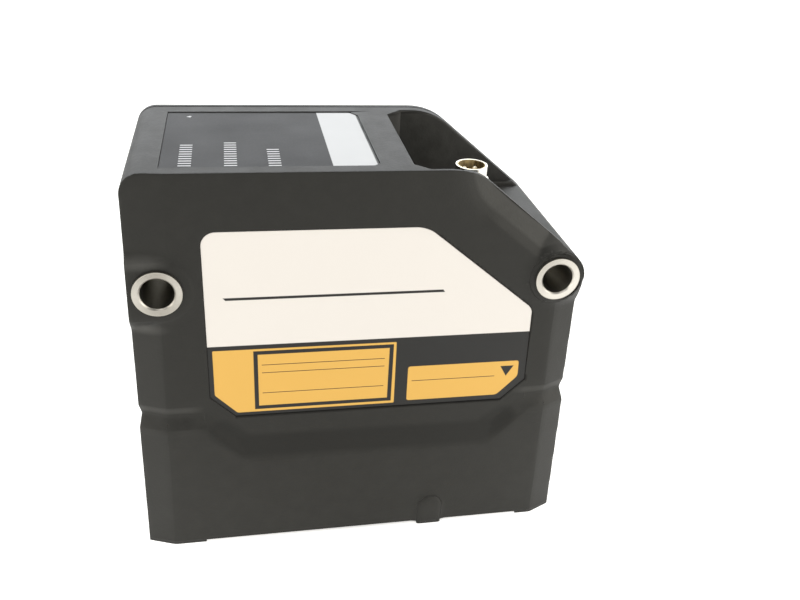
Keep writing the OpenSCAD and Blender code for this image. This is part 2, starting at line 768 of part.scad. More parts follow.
// Chamfers on the upright edges of the labelled side
module edge_chamfers() {
    z_pad = sleeve_z - pad_r / 2;
    translate([body_w / 2, 0, 0])
        rotate([0, -right_lean, 0]) {
            translate([0, y_nose, 0])
                edge_wedge(right_cut_w, right_cut_d, -over, groove_z);
            translate([0, y_face, 0])
                edge_wedge(right_cut_w, right_cut_d, groove_z, sleeve_z);
        }
    translate([-body_w / 2, 0, 0])
        rotate([0, left_lean, 0])
            mirror([1, 0, 0]) {
                translate([0, y_nose, 0])
                    edge_wedge(left_cut_w, left_cut_d, -over, groove_z);
                translate([0, y_face, 0])
                    edge_wedge(left_cut_w, left_cut_d, groove_z, z_pad);
                translate([0, y_face, 0])
                    edge_wedge(upper_cut_w, upper_cut_d, z_pad, body_h + over);
            }
    slope_chamfer();
}

// Flat seat of the left sleeve, with the skirts that run up to it
module left_pad() {
    top = y_face - pad_proud;
    base = top + skirt_d;
    wide = pad_r + skirt_w;
    intersection() {
        union() {
            along_x(-beyond, left_axis[0])
                polygon([[top, sleeve_z - pad_r], [base, sleeve_z - wide], [y_in, sleeve_z - wide],
                    [y_in, sleeve_z + wide], [base, sleeve_z + wide], [top, sleeve_z + pad_r]]);
            translate([left_axis[0], base, left_axis[1]])
                rotate([90, 0, 0])
                    cylinder(r1 = wide + pad_swell, r2 = pad_r + pad_swell, h = skirt_d);
        }
        along_y(top - over, y_in)
            side_outline(0);
    }
}

// Tab on the labelled edge of the sensing face
module edge_tab() {
    r = tab_w / 2;
    along_y(y_nose - tab_proud, y_nose + nose_step) {
        translate([tab_x - r, 0])
            square([tab_w, tab_h - r]);
        translate([tab_x, tab_h - r])
            circle(r);
    }
}

// Plan of the connector pocket
module pocket_plan(far) {
    right = pocket_x + beyond;
    polygon([[pocket_x, pocket_near + pocket_cut_near], [pocket_x + pocket_cut_near, pocket_near],
        [right, pocket_near], [right, far], [pocket_x + pocket_cut_far_x, far],
        [pocket_x, far - pocket_cut_far_y]]);
}

// Pocket open to the top and the right, with a wall that follows the slope's chamfer
module connector_pocket() {
    difference() {
        union() {
            translate([0, 0, pocket_z])
                linear_extrude(ledge_h + over)
                    pocket_plan(pocket_far - ledge_w);
            translate([0, 0, pocket_z + ledge_h])
                linear_extrude(body_h)
                    pocket_plan(pocket_far);
        }
        translate([0, pocket_face_wall, 0])
            slope_chamfer();
    }
}

// Relief between the feet
module foot_relief() {
    block([foot_left_x, y_nose - over, -over], [foot_right_x, y_far + over, foot_h]);
}

module soft_square(w, r) {
    soft_outline([[-w / 2, -w / 2], [w / 2, -w / 2], [w / 2, w / 2], [-w / 2, w / 2]], [r, r, r, r], 0);
}

// Seat and clear opening of one window
module window_cut(x, size, clear) {
    translate([x, y_axis, -over])
        linear_extrude(over + foot_h + win_back + win_t + win_seal_t)
            soft_square(size + 2 * slip_gap, win_r + slip_gap);
    translate([x, y_axis, 0])
        linear_extrude(z_in + over)
            soft_square(clear, win_r);
}

// Outline of the top label's recess, shrunk by e
module top_label_plan(e) {
    left = top_label_left + e;
    right = pocket_x - top_margin_right - e;
    near = y_face + top_margin_near + e;
    far = y_seam - top_margin_far - e;
    polygon([[left, near], [right - top_cut_near, near], [right, near + top_cut_near],
        [right, far - top_cut_y], [right - top_cut_x, far], [left, far]]);
}

module light_guide_holes() {
    for (x = led_points)
        translate([x, led_y, body_h - wall])
            cube([guide_l + 2 * fit_gap, guide_w + 2 * fit_gap, 4 * wall], center = true);
}

module housing() {
    color(charcoal)
        difference() {
            union() {
                difference() {
                    along_y(y_nose, y_seam)
                        side_outline(0);
                    face_cuts();
                    edge_chamfers();
                    foot_relief();
                }
                left_pad();
                bar_y(right_axis, boss_r - fit_gap, y_face - boss_proud, y_in);
                edge_tab();
            }
            side_grooves();
            difference() {
                along_y(y_in, y_seam + over)
                    cavity_outline(0);
                for (p = chassis_points)
                    bar_y(p, standoff_r, y_in - over, y_plate);
                for (x = led_screws)
                    translate([x, led_screw_y, z_led_board + board_t])
                        cylinder(r = led_post_r, h = led_board_drop);
            }
            connector_pocket();
            for (p = [left_axis, right_axis])
                bar_y(p, sleeve_r + fit_gap, y_nose - over, y_seam + over);
            along_y(y_seam - seal_t, y_seam + over)
                difference() {
                    cavity_outline(-seal_land - seal_w);
                    cavity_outline(-seal_land);
                }
            for (p = cover_points)
                bar_y(p, cover_screw_d / 2 + fit_gap, y_far - cover_screw_l - over, y_seam + over);
            for (p = chassis_points)
                bar_y(p, chassis_screw_d / 2 + fit_gap, y_chassis_hole, y_plate + over);
            for (x = led_screws)
                translate([x, led_screw_y, z_led_board])
                    cylinder(r = screw_d / 2 + fit_gap, h = screw_l + screw_gap);
            along_y(y_face - over, y_face + label_recess)
                soft_outline(label_outline, label_radii, 0);
            translate([0, 0, z_top_recess])
                linear_extrude(body_h)
                    top_label_plan(0);
            light_guide_holes();
            translate([plug_x, plug_y, pocket_z - 2 * pocket_wall])
                cylinder(d = shank_d + 2 * slip_gap, h = 4 * pocket_wall);
            window_cut(-receive_x, receive_win, receive_open);
            window_cut(send_x, send_win, send_open);
        }
}

// Countersunk head and shank along Y, grown by g
module cover_screw_body(g) {
    sink = (cover_head_d - cover_screw_d) / 2;
    translate([0, y_far, 0])
        rotate([90, 0, 0]) {
            cylinder(d1 = cover_head_d + 2 * g, d2 = cover_screw_d + 2 * g, h = sink);
            cylinder(d = cover_screw_d + 2 * g, h = cover_screw_l);
        }
}

module side_cover() {
    color(charcoal)
        difference() {
            union() {
                along_y(y_seam, y_seam + seam_w)
                    side_outline(-seam_d);
                along_y(y_seam + seam_w, y_far)
                    side_outline(0);
                along_y(y_seam - lip_h, y_seam)
                    difference() {
                        cavity_outline(slip_gap);
                        cavity_outline(slip_gap + lip_t);
                    }
            }
            side_grooves();
            foot_relief();
            for (p = [left_axis, right_axis])
                bar_y(p, sleeve_r + fit_gap, y_seam - over, y_far + over);
            for (p = cover_points)
                translate([p[0], 0, p[1]])
                    cover_screw_body(fit_gap);
        }
}

module cover_seal() {
    color(rubber_black)
        along_y(y_seam - seal_t, y_seam)
            difference() {
                cavity_outline(-seal_land - seal_w + fit_gap);
                cavity_outline(-seal_land - fit_gap);
            }
}

module cover_screws() {
    color(steel)
        for (p = cover_points)
            translate([p[0], 0, p[1]])
                difference() {
                    cover_screw_body(0);
                    for (a = [0, 90])
                        translate([0, y_far, 0])
                            rotate([0, a, 0])
                                cube([cover_screw_d, 2 * recess_d, recess_w], center = true);
                }
}

// Stainless tube with chamfered mouths
module sleeve(at) {
    length = y_far - y_nose + sleeve_proud;
    inner = sleeve_bore / 2;
    mouth = inner + sleeve_chamfer;
    color(steel)
        translate([at[0], y_far, at[1]])
            rotate([90, 0, 0])
                rotate_extrude()
                    polygon([[mouth, 0], [sleeve_r, 0], [sleeve_r, length], [mouth, length],
                        [inner, length - sleeve_chamfer], [inner, sleeve_chamfer]]);
}

module sleeve_left() {
    sleeve(left_axis);
}

module sleeve_right() {
    sleeve(right_axis);
}

module side_label() {
    color([0.93, 0.92, 0.9])
        along_y(y_face + label_recess - label_t, y_face + label_recess)
            soft_outline(label_outline, label_radii, -slip_gap);
}

module top_label() {
    color([0.35, 0.35, 0.36])
        translate([0, 0, z_top_recess])
            linear_extrude(top_label_t)
                top_label_plan(slip_gap);
}

module window_plate(x, size) {
    color(clear_glass)
        translate([x, y_axis, foot_h + win_back])
            linear_extrude(win_t)
                soft_square(size, win_r);
}

module receiver_window() {
    window_plate(-receive_x, receive_win);
}

module emitter_window() {
    window_plate(send_x, send_win);
}

module window_seals() {
    color(rubber_black)
        for (s = [[-receive_x, receive_win, receive_open], [send_x, send_win, send_open]])
            translate([s[0], y_axis, foot_h + win_back + win_t])
                linear_extrude(win_seal_t)
                    difference() {
                        soft_square(s[1], win_r);
                        soft_square(s[2], win_r);
                    }
}

module connector_shell() {
    seat = pocket_z + plug_flange_t;
    socket_r = plug_d / 2 - plug_wall;
    seal_r = (shank_d + plug_flange_d) / 4;
    color(steel)
        translate([plug_x, plug_y, 0])
            difference() {
                rotate_extrude()
                    polygon([[shank_d / 2, z_shank], [shank_d / 2, pocket_z], [plug_flange_d / 2, pocket_z],
                        [plug_flange_d / 2, seat], [plug_collar_d / 2, seat],
                        [plug_collar_d / 2, z_rim - plug_rim_h], [plug_d / 2, z_rim - plug_rim_h],
                        [plug_d / 2, z_rim], [socket_r, z_rim], [socket_r, seat], [shank_bore / 2, seat],
                        [shank_bore / 2, z_shank]]);
                translate([0, 0, pocket_z - over])
                    linear_extrude(over + plug_seal_t)
                        difference() {
                            circle(seal_r + plug_seal_w / 2 + fit_gap);
                            circle(seal_r - plug_seal_w / 2 - fit_gap);
                        }
            }
}

module connector_insert() {
    seat = pocket_z + plug_flange_t;
    socket_r = plug_d / 2 - plug_wall;
    color([0.1, 0.1, 0.1])
        translate([plug_x, plug_y, 0])
            difference() {
                union() {
                    translate([0, 0, seat])
                        cylinder(r = socket_r - fit_gap, h = z_insert_top - seat);
                    translate([0, 0, z_shank])
                        cylinder(d = shank_bore - 2 * fit_gap, h = seat - z_shank);
                }
                for (p = pin_points)
                    translate([p[0], p[1], z_shank - over])
                        cylinder(d = pin_d + 2 * fit_gap, h = body_h);
            }
}

module connector_pins() {
    color(gold)
        for (p = pin_points)
            translate([plug_x + p[0], plug_y + p[1], z_tails])
                cylinder(d = pin_d, h = z_insert_top + pin_l - z_tails);
}

module connector_seal() {
    color(rubber_black)
        translate([plug_x, plug_y, pocket_z])
            linear_extrude(plug_seal_t)
                difference() {
                    circle((shank_d + plug_flange_d) / 4 + plug_seal_w / 2);
                    circle((shank_d + plug_flange_d) / 4 - plug_seal_w / 2);
                }
}

module connector_nut() {
    color(steel)
        translate([plug_x, plug_y, pocket_z - pocket_wall - nut_t])
            difference() {
                cylinder(d = nut_af / cos(30), h = nut_t, $fn = 6);
                translate([0, 0, -over])
                    cylinder(d = shank_d + 2 * fit_gap, h = nut_t + 2 * over);
            }
}

module connector_leads() {
    color([0.55, 0.12, 0.1])
        for (p = pin_points) {
            x = plug_x + p[0];
            y = plug_y + p[1];
            z = z_tails - lead_drop - (p[1] < 0 ? lead_step : 0);
            translate([x, y, z])
                cylinder(d = lead_d, h = z_tails - z);
            translate([x, y, z])
                sphere(d = lead_d);
            bar_y([x, z], lead_d / 2, y, y_board);
        }
}

module chassis() {
    color([0.6, 0.6, 0.62])
        difference() {
            union() {
                block([plate_left, y_plate, z_plate], [plate_right, y_plate_top, z_plate_top]);
                block([-receive_x - saddle_w / 2, y_plate, z_block],
                    [saddle_w / 2 - receive_x, y_plate_top + saddle_y, z_block + saddle_h]);
                block([send_x - block_w / 2, y_plate, z_holder_top - block_h],
                    [send_x + block_w / 2, y_axis + holder_d / 2 + block_wall, z_holder_top]);
                for (p = post_points)
                    bar_y(p, post_r, y_plate, y_board);
            }
            translate([-receive_x, y_axis, 0])
                cylinder(d = barrel_d + 2 * fit_gap, h = body_h);
            translate([send_x, y_axis, 0])
                cylinder(d = holder_d + 2 * fit_gap, h = body_h);
            for (p = chassis_points)
                bar_y(p, chassis_screw_d / 2 + screw_gap, y_plate - over, y_plate_top + over);
            for (p = post_points)
                bar_y(p, screw_d / 2 + fit_gap, y_board + board_t - screw_l - screw_gap, y_board + over);
        }
}

// Pan head screw that points along -Z from the origin
module pan_screw(d, l, head_d, head_t) {
    difference() {
        union() {
            translate([0, 0, -l])
                cylinder(d = d, h = l);
            cylinder(d = head_d, h = head_t);
        }
        for (a = [0, 90])
            translate([0, 0, head_t])
                rotate([0, 0, a])
                    cube([d, recess_w, 2 * recess_d], center = true);
    }
}

module chassis_screws() {
    color(steel)
        for (p = chassis_points)
            translate([p[0], y_plate_top, p[1]])
                rotate([-90, 0, 0])
                    pan_screw(chassis_screw_d, chassis_screw_l, chassis_head_d, chassis_head_t);
}

module receiver_barrel() {
    inner = barrel_d / 2 - barrel_wall;
    open_w = filter_w - 2 * filter_rim;
    open_y = filter_y - 2 * filter_rim;
    color([0.13, 0.13, 0.14])
        translate([-receive_x, y_axis, z_barrel])
            difference() {
                union() {
                    cylinder(d = barrel_d, h = barrel_l);
                    for (s = [-1, 1])
                        translate([s * sensor_screw_x, 0, 0])
                            cylinder(r = sensor_post_r, h = barrel_l + imager_t);
                }
                translate([0, 0, -over])
                    cylinder(r = inner - lens_rim, h = 2 * over + lens_seat_h);
                translate([0, 0, lens_seat_h])
                    cylinder(r = inner, h = barrel_l - barrel_end_t - lens_seat_h);
                translate([-open_w / 2, -open_y / 2, lens_seat_h])
                    cube([open_w, open_y, barrel_l]);
                translate([-filter_w / 2 - fit_gap, -filter_y / 2 - fit_gap, barrel_l - filter_t])
                    cube([filter_w + 2 * fit_gap, filter_y + 2 * fit_gap, barrel_l]);
                for (s = [-1, 1])
                    translate([s * sensor_screw_x, 0, barrel_l + imager_t + board_t - screw_l - screw_gap])
                        cylinder(d = screw_d + 2 * fit_gap, h = screw_l + over);
            }
}

// Lens with a flat lower face and a domed upper face
module dome_lens(d, edge, r) {
    sag = r - sqrt(r * r - d * d / 4);
    intersection() {
        cylinder(d = d, h = edge + sag);
        translate([0, 0, edge + sag - r])
            sphere(r);
    }
}

module receiver_lens() {
    color(clear_glass)
        translate([-receive_x, y_axis, z_barrel + lens_seat_h])
            dome_lens(lens_d, lens_edge, lens_r);
}

module optical_filter() {
    color([0.5, 0.1, 0.1, 0.6])
        translate([-receive_x - filter_w / 2, y_axis - filter_y / 2, z_barrel_top - filter_t])
            cube([filter_w, filter_y, filter_t]);
}

module image_sensor() {
    color([0.15, 0.15, 0.17])
        translate([-receive_x - imager_w / 2, y_axis - imager_y / 2, z_barrel_top])
            cube([imager_w, imager_y, imager_t]);
}

module sensor_board() {
    color(board_green)
        translate([-receive_x, y_axis, z_sensor_board])
            difference() {
                translate([-sensor_board_w / 2, -sensor_board_y / 2, 0])
                    cube([sensor_board_w, sensor_board_y, board_t]);
                for (s = [-1, 1])
                    translate([s * sensor_screw_x, 0, -over])
                        cylinder(d = screw_d + 2 * screw_gap, h = board_t + 2 * over);
            }
}

// Flat lead from the top of a small board at x, y0 over to the main board
module flat_lead(x, y0, z) {
    color([0.75, 0.5, 0.2]) {
        block([x - flex_w / 2, y0, z], [x + flex_w / 2, y_board, z + flex_t]);
        block([x - flex_w / 2, y_board - flex_t, z - flex_drop], [x + flex_w / 2, y_board, z + flex_t]);
    }
}

module sensor_flex() {
    flat_lead(-receive_x, y_axis + sensor_board_y / 2 - flex_lap, z_sensor_board + board_t);
}

module laser_holder() {
    outer = holder_d / 2;
    seat = z_holder_top - diode_flange_t;
    counter = diode_flange_d / 2 + fit_gap;
    color([0.65, 0.66, 0.68])
        translate([send_x, y_axis, 0])
            rotate_extrude()
                polygon([[aperture_d / 2, z_barrel], [outer, z_barrel], [outer, z_holder_top],
                    [counter, z_holder_top], [counter, seat], [holder_bore / 2, seat],
                    [holder_bore / 2, z_barrel + aperture_t],
                    [aperture_d / 2, z_barrel + aperture_t]]);
}

module laser_diode() {
    seat = z_holder_top - diode_flange_t;
    color(gold)
        translate([send_x, y_axis, seat]) {
            cylinder(d = diode_flange_d, h = diode_flange_t);
            translate([0, 0, -diode_can_h])
                cylinder(d = diode_can_d, h = diode_can_h);
            for (a = [0, 120, 240])
                rotate([0, 0, a])
                    translate([diode_leg_r, 0, 0])
                        cylinder(d = diode_leg_d, h = diode_flange_t + diode_leg_l);
        }
}

module collimator_lens() {
    color(clear_glass)
        translate([send_x, y_axis, z_barrel + aperture_t])
            dome_lens(collimator_d, collimator_edge, collimator_r);
}

module laser_board() {
    color(board_green)
        translate([send_x, y_axis, z_laser_board])
            difference() {
                translate([-laser_board_w / 2, -laser_board_w / 2, 0])
                    cube([laser_board_w, laser_board_w, board_t]);
                for (a = [0, 120, 240])
                    rotate([0, 0, a])
                        translate([diode_leg_r, 0, -over])
                            cylinder(d = diode_leg_d + 2 * fit_gap, h = board_t + 2 * over);
            }
}

module laser_flex() {
    flat_lead(send_x, y_axis + laser_board_w / 2 - flex_lap, z_laser_board + board_t);
}

module main_board() {
    color(board_green)
        difference() {
            union() {
                block([-main_board_w / 2, y_board, z_plate],
                    [main_board_w / 2, y_board + board_t, z_board_mid]);
                block([-main_board_top_w / 2, y_board, z_plate],
                    [main_board_top_w / 2, y_board + board_t, z_board_top]);
            }
            for (p = post_points)
                bar_y(p, screw_d / 2 + screw_gap, y_board - over, y_board + board_t + over);
        }
}

module board_chips() {
    color([0.1, 0.1, 0.11])
        for (i = [-1, 0, 1]) {
            half = (i == 0 ? chip_big : chip_small) / 2;
            block([i * chip_pitch - half, y_board + board_t, z_plate + chip_z - half],
                [i * chip_pitch + half, y_board + board_t + chip_t, z_plate + chip_z + half]);
        }
}

module board_screw() {
    pan_screw(screw_d, screw_l, screw_head_d, screw_head_t);
}

module board_screws() {
    color(steel) {
        for (p = post_points)
            translate([p[0], y_board + board_t, p[1]])
                rotate([-90, 0, 0])
                    board_screw();
        for (s = [-1, 1])
            translate([s * sensor_screw_x - receive_x, y_axis, z_sensor_board + board_t])
                board_screw();
        for (x = led_screws)
            translate([x, led_screw_y, z_led_board])
                rotate([180, 0, 0])
                    board_screw();
    }
}

module led_board() {
    y0 = led_screw_y + led_post_r - led_board_y;
    color(board_green)
        difference() {
            block([led_board_left, y0, z_led_board],
                [led_board_left + led_board_w, y0 + led_board_y, z_led_board + board_t]);
            for (x = led_screws)
                translate([x, led_screw_y, z_led_board - over])
                    cylinder(d = screw_d + 2 * screw_gap, h = board_t + 2 * over);
        }
}

module indicator_leds() {
    color([0.85, 0.9, 0.85])
        for (x = led_points)
            block([x - led_l / 2, led_y - led_w / 2, z_led_board + board_t],
                [x + led_l / 2, led_y + led_w / 2, z_led_board + board_t + led_h]);
}

module light_guides() {
    low = z_led_board + board_t + led_h;
    under = body_h - wall;
    rim = [guide_l / 2 + guide_rim, guide_w / 2 + guide_rim];
    color([0.9, 0.92, 0.92, 0.5])
        for (x = led_points) {
            block([x - guide_l / 2, led_y - guide_w / 2, low],
                [x + guide_l / 2, led_y + guide_w / 2, z_top_recess]);
            block([x - rim[0], led_y - rim[1], under - guide_rim_t], [x + rim[0], led_y + rim[1], under]);
        }
}

housing();
side_cover();
cover_seal();
cover_screws();
sleeve_left();
sleeve_right();
side_label();
top_label();
receiver_window();
emitter_window();
window_seals();
connector_shell();
connector_insert();
connector_pins();
connector_seal();
connector_nut();
connector_leads();
chassis();
chassis_screws();
receiver_barrel();
receiver_lens();
optical_filter();
image_sensor();
sensor_board();
sensor_flex();
laser_holder();
laser_diode();
collimator_lens();
laser_board();
laser_flex();
main_board();
board_chips();
board_screws();
led_board();
indicator_leds();
light_guides();
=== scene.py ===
import json
import math

import bmesh
import bpy
import numpy as np
from mathutils import Matrix, Vector
from mathutils.bvhtree import BVHTree


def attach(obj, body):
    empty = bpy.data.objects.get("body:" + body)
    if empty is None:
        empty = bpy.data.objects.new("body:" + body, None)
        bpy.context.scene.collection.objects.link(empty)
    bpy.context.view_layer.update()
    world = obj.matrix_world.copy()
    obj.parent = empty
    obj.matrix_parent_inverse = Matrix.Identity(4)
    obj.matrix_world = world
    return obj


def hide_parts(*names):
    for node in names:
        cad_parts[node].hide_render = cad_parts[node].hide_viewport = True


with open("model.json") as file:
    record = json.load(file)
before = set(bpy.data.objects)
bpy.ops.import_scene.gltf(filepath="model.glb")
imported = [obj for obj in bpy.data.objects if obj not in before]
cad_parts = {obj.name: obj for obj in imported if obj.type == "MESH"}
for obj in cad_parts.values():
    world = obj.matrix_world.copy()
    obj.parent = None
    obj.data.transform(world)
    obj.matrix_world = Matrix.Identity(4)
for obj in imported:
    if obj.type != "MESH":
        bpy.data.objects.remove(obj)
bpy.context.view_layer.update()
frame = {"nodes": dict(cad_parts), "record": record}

nodes = frame["nodes"]
mm = 0.001
print("frame loaded:", len(nodes), "nodes")


class Wire:  # a socket that takes part in Python expressions
    def __init__(self, graph, socket):
        self.graph = graph
        self.socket = socket

    def maths(self, operation, *others, clamp=False):
        inputs = {i: v for i, v in enumerate((self, *others))}
        return self.graph.node("ShaderNodeMath", {"operation": operation, "use_clamp": clamp}, inputs)

    def __add__(self, other):
        return self.maths("ADD", other)

    def __radd__(self, other):
        return self.maths("ADD", other)

    def __sub__(self, other):
        return self.maths("SUBTRACT", other)

    def __rsub__(self, other):
        return (self * -1).maths("ADD", other)

    def __mul__(self, other):
        return self.maths("MULTIPLY", other)

    def __rmul__(self, other):
        return self.maths("MULTIPLY", other)

    def __truediv__(self, other):
        return self.maths("DIVIDE", other)

    def __pow__(self, other):
        return self.maths("POWER", other)

    def __abs__(self):
        return self.maths("ABSOLUTE")

    def least(self, other):
        return self.maths("MINIMUM", other)

    def most(self, other):
        return self.maths("MAXIMUM", other)

    def sine(self):
        return self.maths("SINE")

    def root(self):
        return self.maths("SQRT")

    def inside(self, softness):  # 1 where the value is above zero, with a soft edge
        return (self / softness).maths("ADD", 0.5, clamp=True)


class Graph:  # nodes of a material or of a geometry tree
    def __init__(self, tree):
        self.tree = tree

    def node(self, kind, settings=None, inputs=None, pick=0):
        made = self.tree.nodes.new(kind)
        for key, value in (settings or {}).items():
            setattr(made, key, value)
        for key, value in (inputs or {}).items():
            self.join(made.inputs[key], value)
        return Wire(self, made.outputs[pick])

    def join(self, socket, value):
        if isinstance(value, Wire):
            self.tree.links.new(value.socket, socket)
        elif hasattr(value, "__len__") and len(value) == 3 and socket.type == "RGBA":
            socket.default_value = (*value, 1)
        else:
            socket.default_value = value


def corners(left, right, low, high):  # of a rectangle, counterclockwise
    return [(left, low), (right, low), (right, high), (left, high)]


class Paint(Graph):  # one material
    def __init__(self, name, **constants):
        self.material = bpy.data.materials.new(name)
        self.material.use_nodes = True
        super().__init__(self.material.node_tree)
        self.shader = self.tree.nodes["Principled BSDF"]
        for socket, value in constants.items():
            self.shader.inputs[socket.replace("_", " ")].default_value = value

    def place(self):
        return self.node("ShaderNodeTexCoord", pick="Object")

    def axes(self):  # x, y and z in millimetres
        split = self.node("ShaderNodeSeparateXYZ", None, {0: self.place()})
        made = split.socket.node
        return [Wire(self, made.outputs[i]) * 1000 for i in range(3)]

    def noise(self, size, detail=2, rough=0.5, vector=None):  # size of one grain in millimetres
        return self.node("ShaderNodeTexNoise", None, {
            "Vector": vector or self.place(), "Scale": 1000 / size, "Detail": detail, "Roughness": rough})

    def stretched(self, x, y, z):
        return self.node("ShaderNodeVectorMath", {"operation": "MULTIPLY"}, {0: self.place(), 1: (x, y, z)})

    def mix(self, factor, first, second):
        return self.node("ShaderNodeMix", {"data_type": "RGBA"}, {0: factor, 6: first, 7: second}, 2)

    def bump(self, height, depth):  # depth in millimetres
        return self.node("ShaderNodeBump", None, {"Height": height, "Distance": depth * mm, "Strength": 1.0})

    def field(self, u, v, points, softness=0.12, corner=0.0):  # convex, with its points counterclockwise
        reach = None
        for (u0, v0), (u1, v1) in zip(points, points[1:] + points[:1]):
            length = math.hypot(u1 - u0, v1 - v0)
            nu, nv = -(v1 - v0) / length, (u1 - u0) / length
            depth = u * nu + v * nv - (u0 * nu + v0 * nv)
            if reach is None:
                reach = depth
            elif corner:
                reach = reach.maths("SMOOTH_MIN", depth, corner)
            else:
                reach = reach.least(depth)
        return reach.inside(softness)

    def line(self, u, v, left, right, middle, width, softness=0.08):  # thin rule of print
        return self.field(u, v, corners(left, right, middle - width / 2, middle + width / 2), softness)

    def band(self, u, v, points, half, softness):  # soft band along a path
        reach = None
        for (u0, v0), (u1, v1) in zip(points, points[1:]):
            du, dv = u1 - u0, v1 - v0
            square = du * du + dv * dv
            along = ((u - u0) * (du / square)).maths("ADD", (v - v0) * (dv / square), clamp=True)
            depth = half - ((u - along * du - u0) ** 2 + (v - along * dv - v0) ** 2).root()
            reach = depth if reach is None else reach.most(depth)
        return reach.inside(softness)

    def feed(self, **links):
        for socket, value in links.items():
            self.join(self.shader.inputs[socket.replace("_", " ")], value)
        return self.material


finishes = {}


# Moulded charcoal plastic of the case and its cover
caseLook = {
    "dark": (0.0038, 0.0037, 0.0032), "light": (0.0105, 0.0102, 0.009), "dust": (0.029, 0.0285, 0.026),
    "dustAndSheen": (0.05, 0.049, 0.0455), "specular": 0.33, "tint": (1.0, 0.985, 0.92, 1),
    "grain": 0.55, "mottle": 3.5, "cloud": 11, "depth": 0.034, "footLightHeight": 40, "front": -17,
    "pocket": (8.5, -20.3, 70, 18.3, 89.3),  # left, near, floor, far and top of the dusty pocket
    "sheenPatches": (  # x, z, half width, half height and strength of painted highlights, pale patches where sloped faces on the labelled side catch light
        (-44.6, 72.1, 7.0, 2.1, 0.85), (-44.6, 57.0, 5.6, 1.8, 0.75), (41.3, 73.6, 5.0, 4.2, 0.7),
    ),
    "grooves": (  # height, half height, start and strength of the grooves' pale lip, a painted highlight, then of their dust
        (36.9, 1.0, 35.5, 0.42), (33.2, 2.6, 34.5, 0.13),
    ),
    "shoulder": [(-30.5, 31.0), (-25.5, 26.8), (27.5, 26.2), (32.5, 30.0)],  # painted shade: the sloped shoulder is darkened in the plastic's colour
    "shoulderHalf": 2.8, "shoulderSoft": 1.5, "shoulderShare": 0.72, "shoulderTone": (0.0012, 0.0012, 0.001),
}


def mouldedPlastic(name):
    look = caseLook
    paint = Paint(name, Specular_IOR_Level=look["specular"], Specular_Tint=look["tint"])
    x, y, z = paint.axes()
    grain = paint.noise(look["grain"], 3, 0.6)
    mottle = paint.noise(look["mottle"], 4, 0.6)
    cloud = paint.noise(look["cloud"], 4, 0.55)
    tone = cloud * 0.45 + mottle * 0.45 + grain * 0.6 - 0.25
    low = (1 - z / look["footLightHeight"]).most(0) * 0.35  # painted light: lighter towards the foot, where the floor lights it
    left, near, floor, far, top = look["pocket"]
    pocket = (x - left).inside(0.6) * (far - y).inside(0.3) * (y - near).inside(0.3) * (top - z).inside(0.4)
    # the pale dust tone carries the painted light at the foot as well as the pocket's dust
    dust = low + pocket * (z - floor).inside(2) + mottle * 0.3 - 0.12
    dustAndFootLight = dust.maths("MULTIPLY", mottle + 0.2, clamp=True)
    front = (look["front"] - y).inside(2)  # the labelled side alone
    # painted highlights: pale lips along the grooves and pale patches on sloped faces, mixed with the
    # grooves' dust
    dustAndSheen = 0
    for level, half, start, share in look["grooves"]:
        dustAndSheen = (1 - ((z - level) / half) ** 2).most(0) * (abs(x) - start).inside(3) * share + dustAndSheen
    for px, pz, wide, tall, share in look["sheenPatches"]:
        dustAndSheen = dustAndSheen + (1 - ((x - px) / wide) ** 2 - ((z - pz) / tall) ** 2).most(0) ** 2 * share
    dustAndSheen = dustAndSheen * front * (mottle * 0.6 + 0.7)
    # painted shade along the shoulder of the labelled side
    shoulder = paint.band(x, z, look["shoulder"], look["shoulderHalf"], look["shoulderSoft"]) * front
    plain = paint.mix(dustAndFootLight, paint.mix(tone, look["dark"], look["light"]), look["dust"])
    plain = paint.mix(shoulder * look["shoulderShare"], plain, look["shoulderTone"])
    return paint.feed(Base_Color=paint.mix(dustAndSheen, plain, look["dustAndSheen"]),
                      Roughness=cloud * 0.1 + mottle * 0.14 + grain * 0.1 + 0.37,
                      Normal=paint.bump(grain * 0.8 + mottle * 0.2, look["depth"]))


finishes["case"] = mouldedPlastic("caseMoulding")
finishes["cover"] = mouldedPlastic("coverMoulding")


# Plain finishes that differ in colour, grain and gloss
def plainFinish(name, dark, light, rough, grain, depth, metallic=0.0):
    paint = Paint(name, Metallic=metallic)
    fine = paint.noise(grain, 3, 0.6)
    broad = paint.noise(grain * 18, 3, 0.5)
    colour = paint.mix(fine * 0.5 + broad * 0.5, dark, light)
    return paint.feed(Base_Color=colour, Roughness=fine * 0.16 + broad * 0.1 + (rough - 0.13),
                      Normal=paint.bump(fine, depth))


plainLooks = {  # dark and light tone, roughness, size of the grain and depth of its bump
    "rubber": ((0.008, 0.008, 0.008), (0.02, 0.02, 0.02), 0.7, 0.2, 0.01),
    "insert": ((0.16, 0.115, 0.06), (0.27, 0.2, 0.11), 0.3, 0.25, 0.006),
    "leads": ((0.2, 0.012, 0.01), (0.32, 0.03, 0.02), 0.45, 0.2, 0.006),
    "imager": ((0.012, 0.014, 0.02), (0.03, 0.034, 0.045), 0.25, 0.3, 0.003),
    "board": ((0.006, 0.05, 0.02), (0.014, 0.09, 0.035), 0.35, 0.6, 0.006),
    "flex": ((0.3, 0.12, 0.02), (0.45, 0.2, 0.04), 0.35, 0.5, 0.005),
    "chips": ((0.01, 0.01, 0.01), (0.022, 0.022, 0.022), 0.5, 0.18, 0.006),
    "leds": ((0.6, 0.62, 0.5), (0.75, 0.77, 0.66), 0.2, 0.4, 0.003),
    "guides": ((0.6, 0.64, 0.64), (0.74, 0.78, 0.78), 0.15, 0.6, 0.002),
}
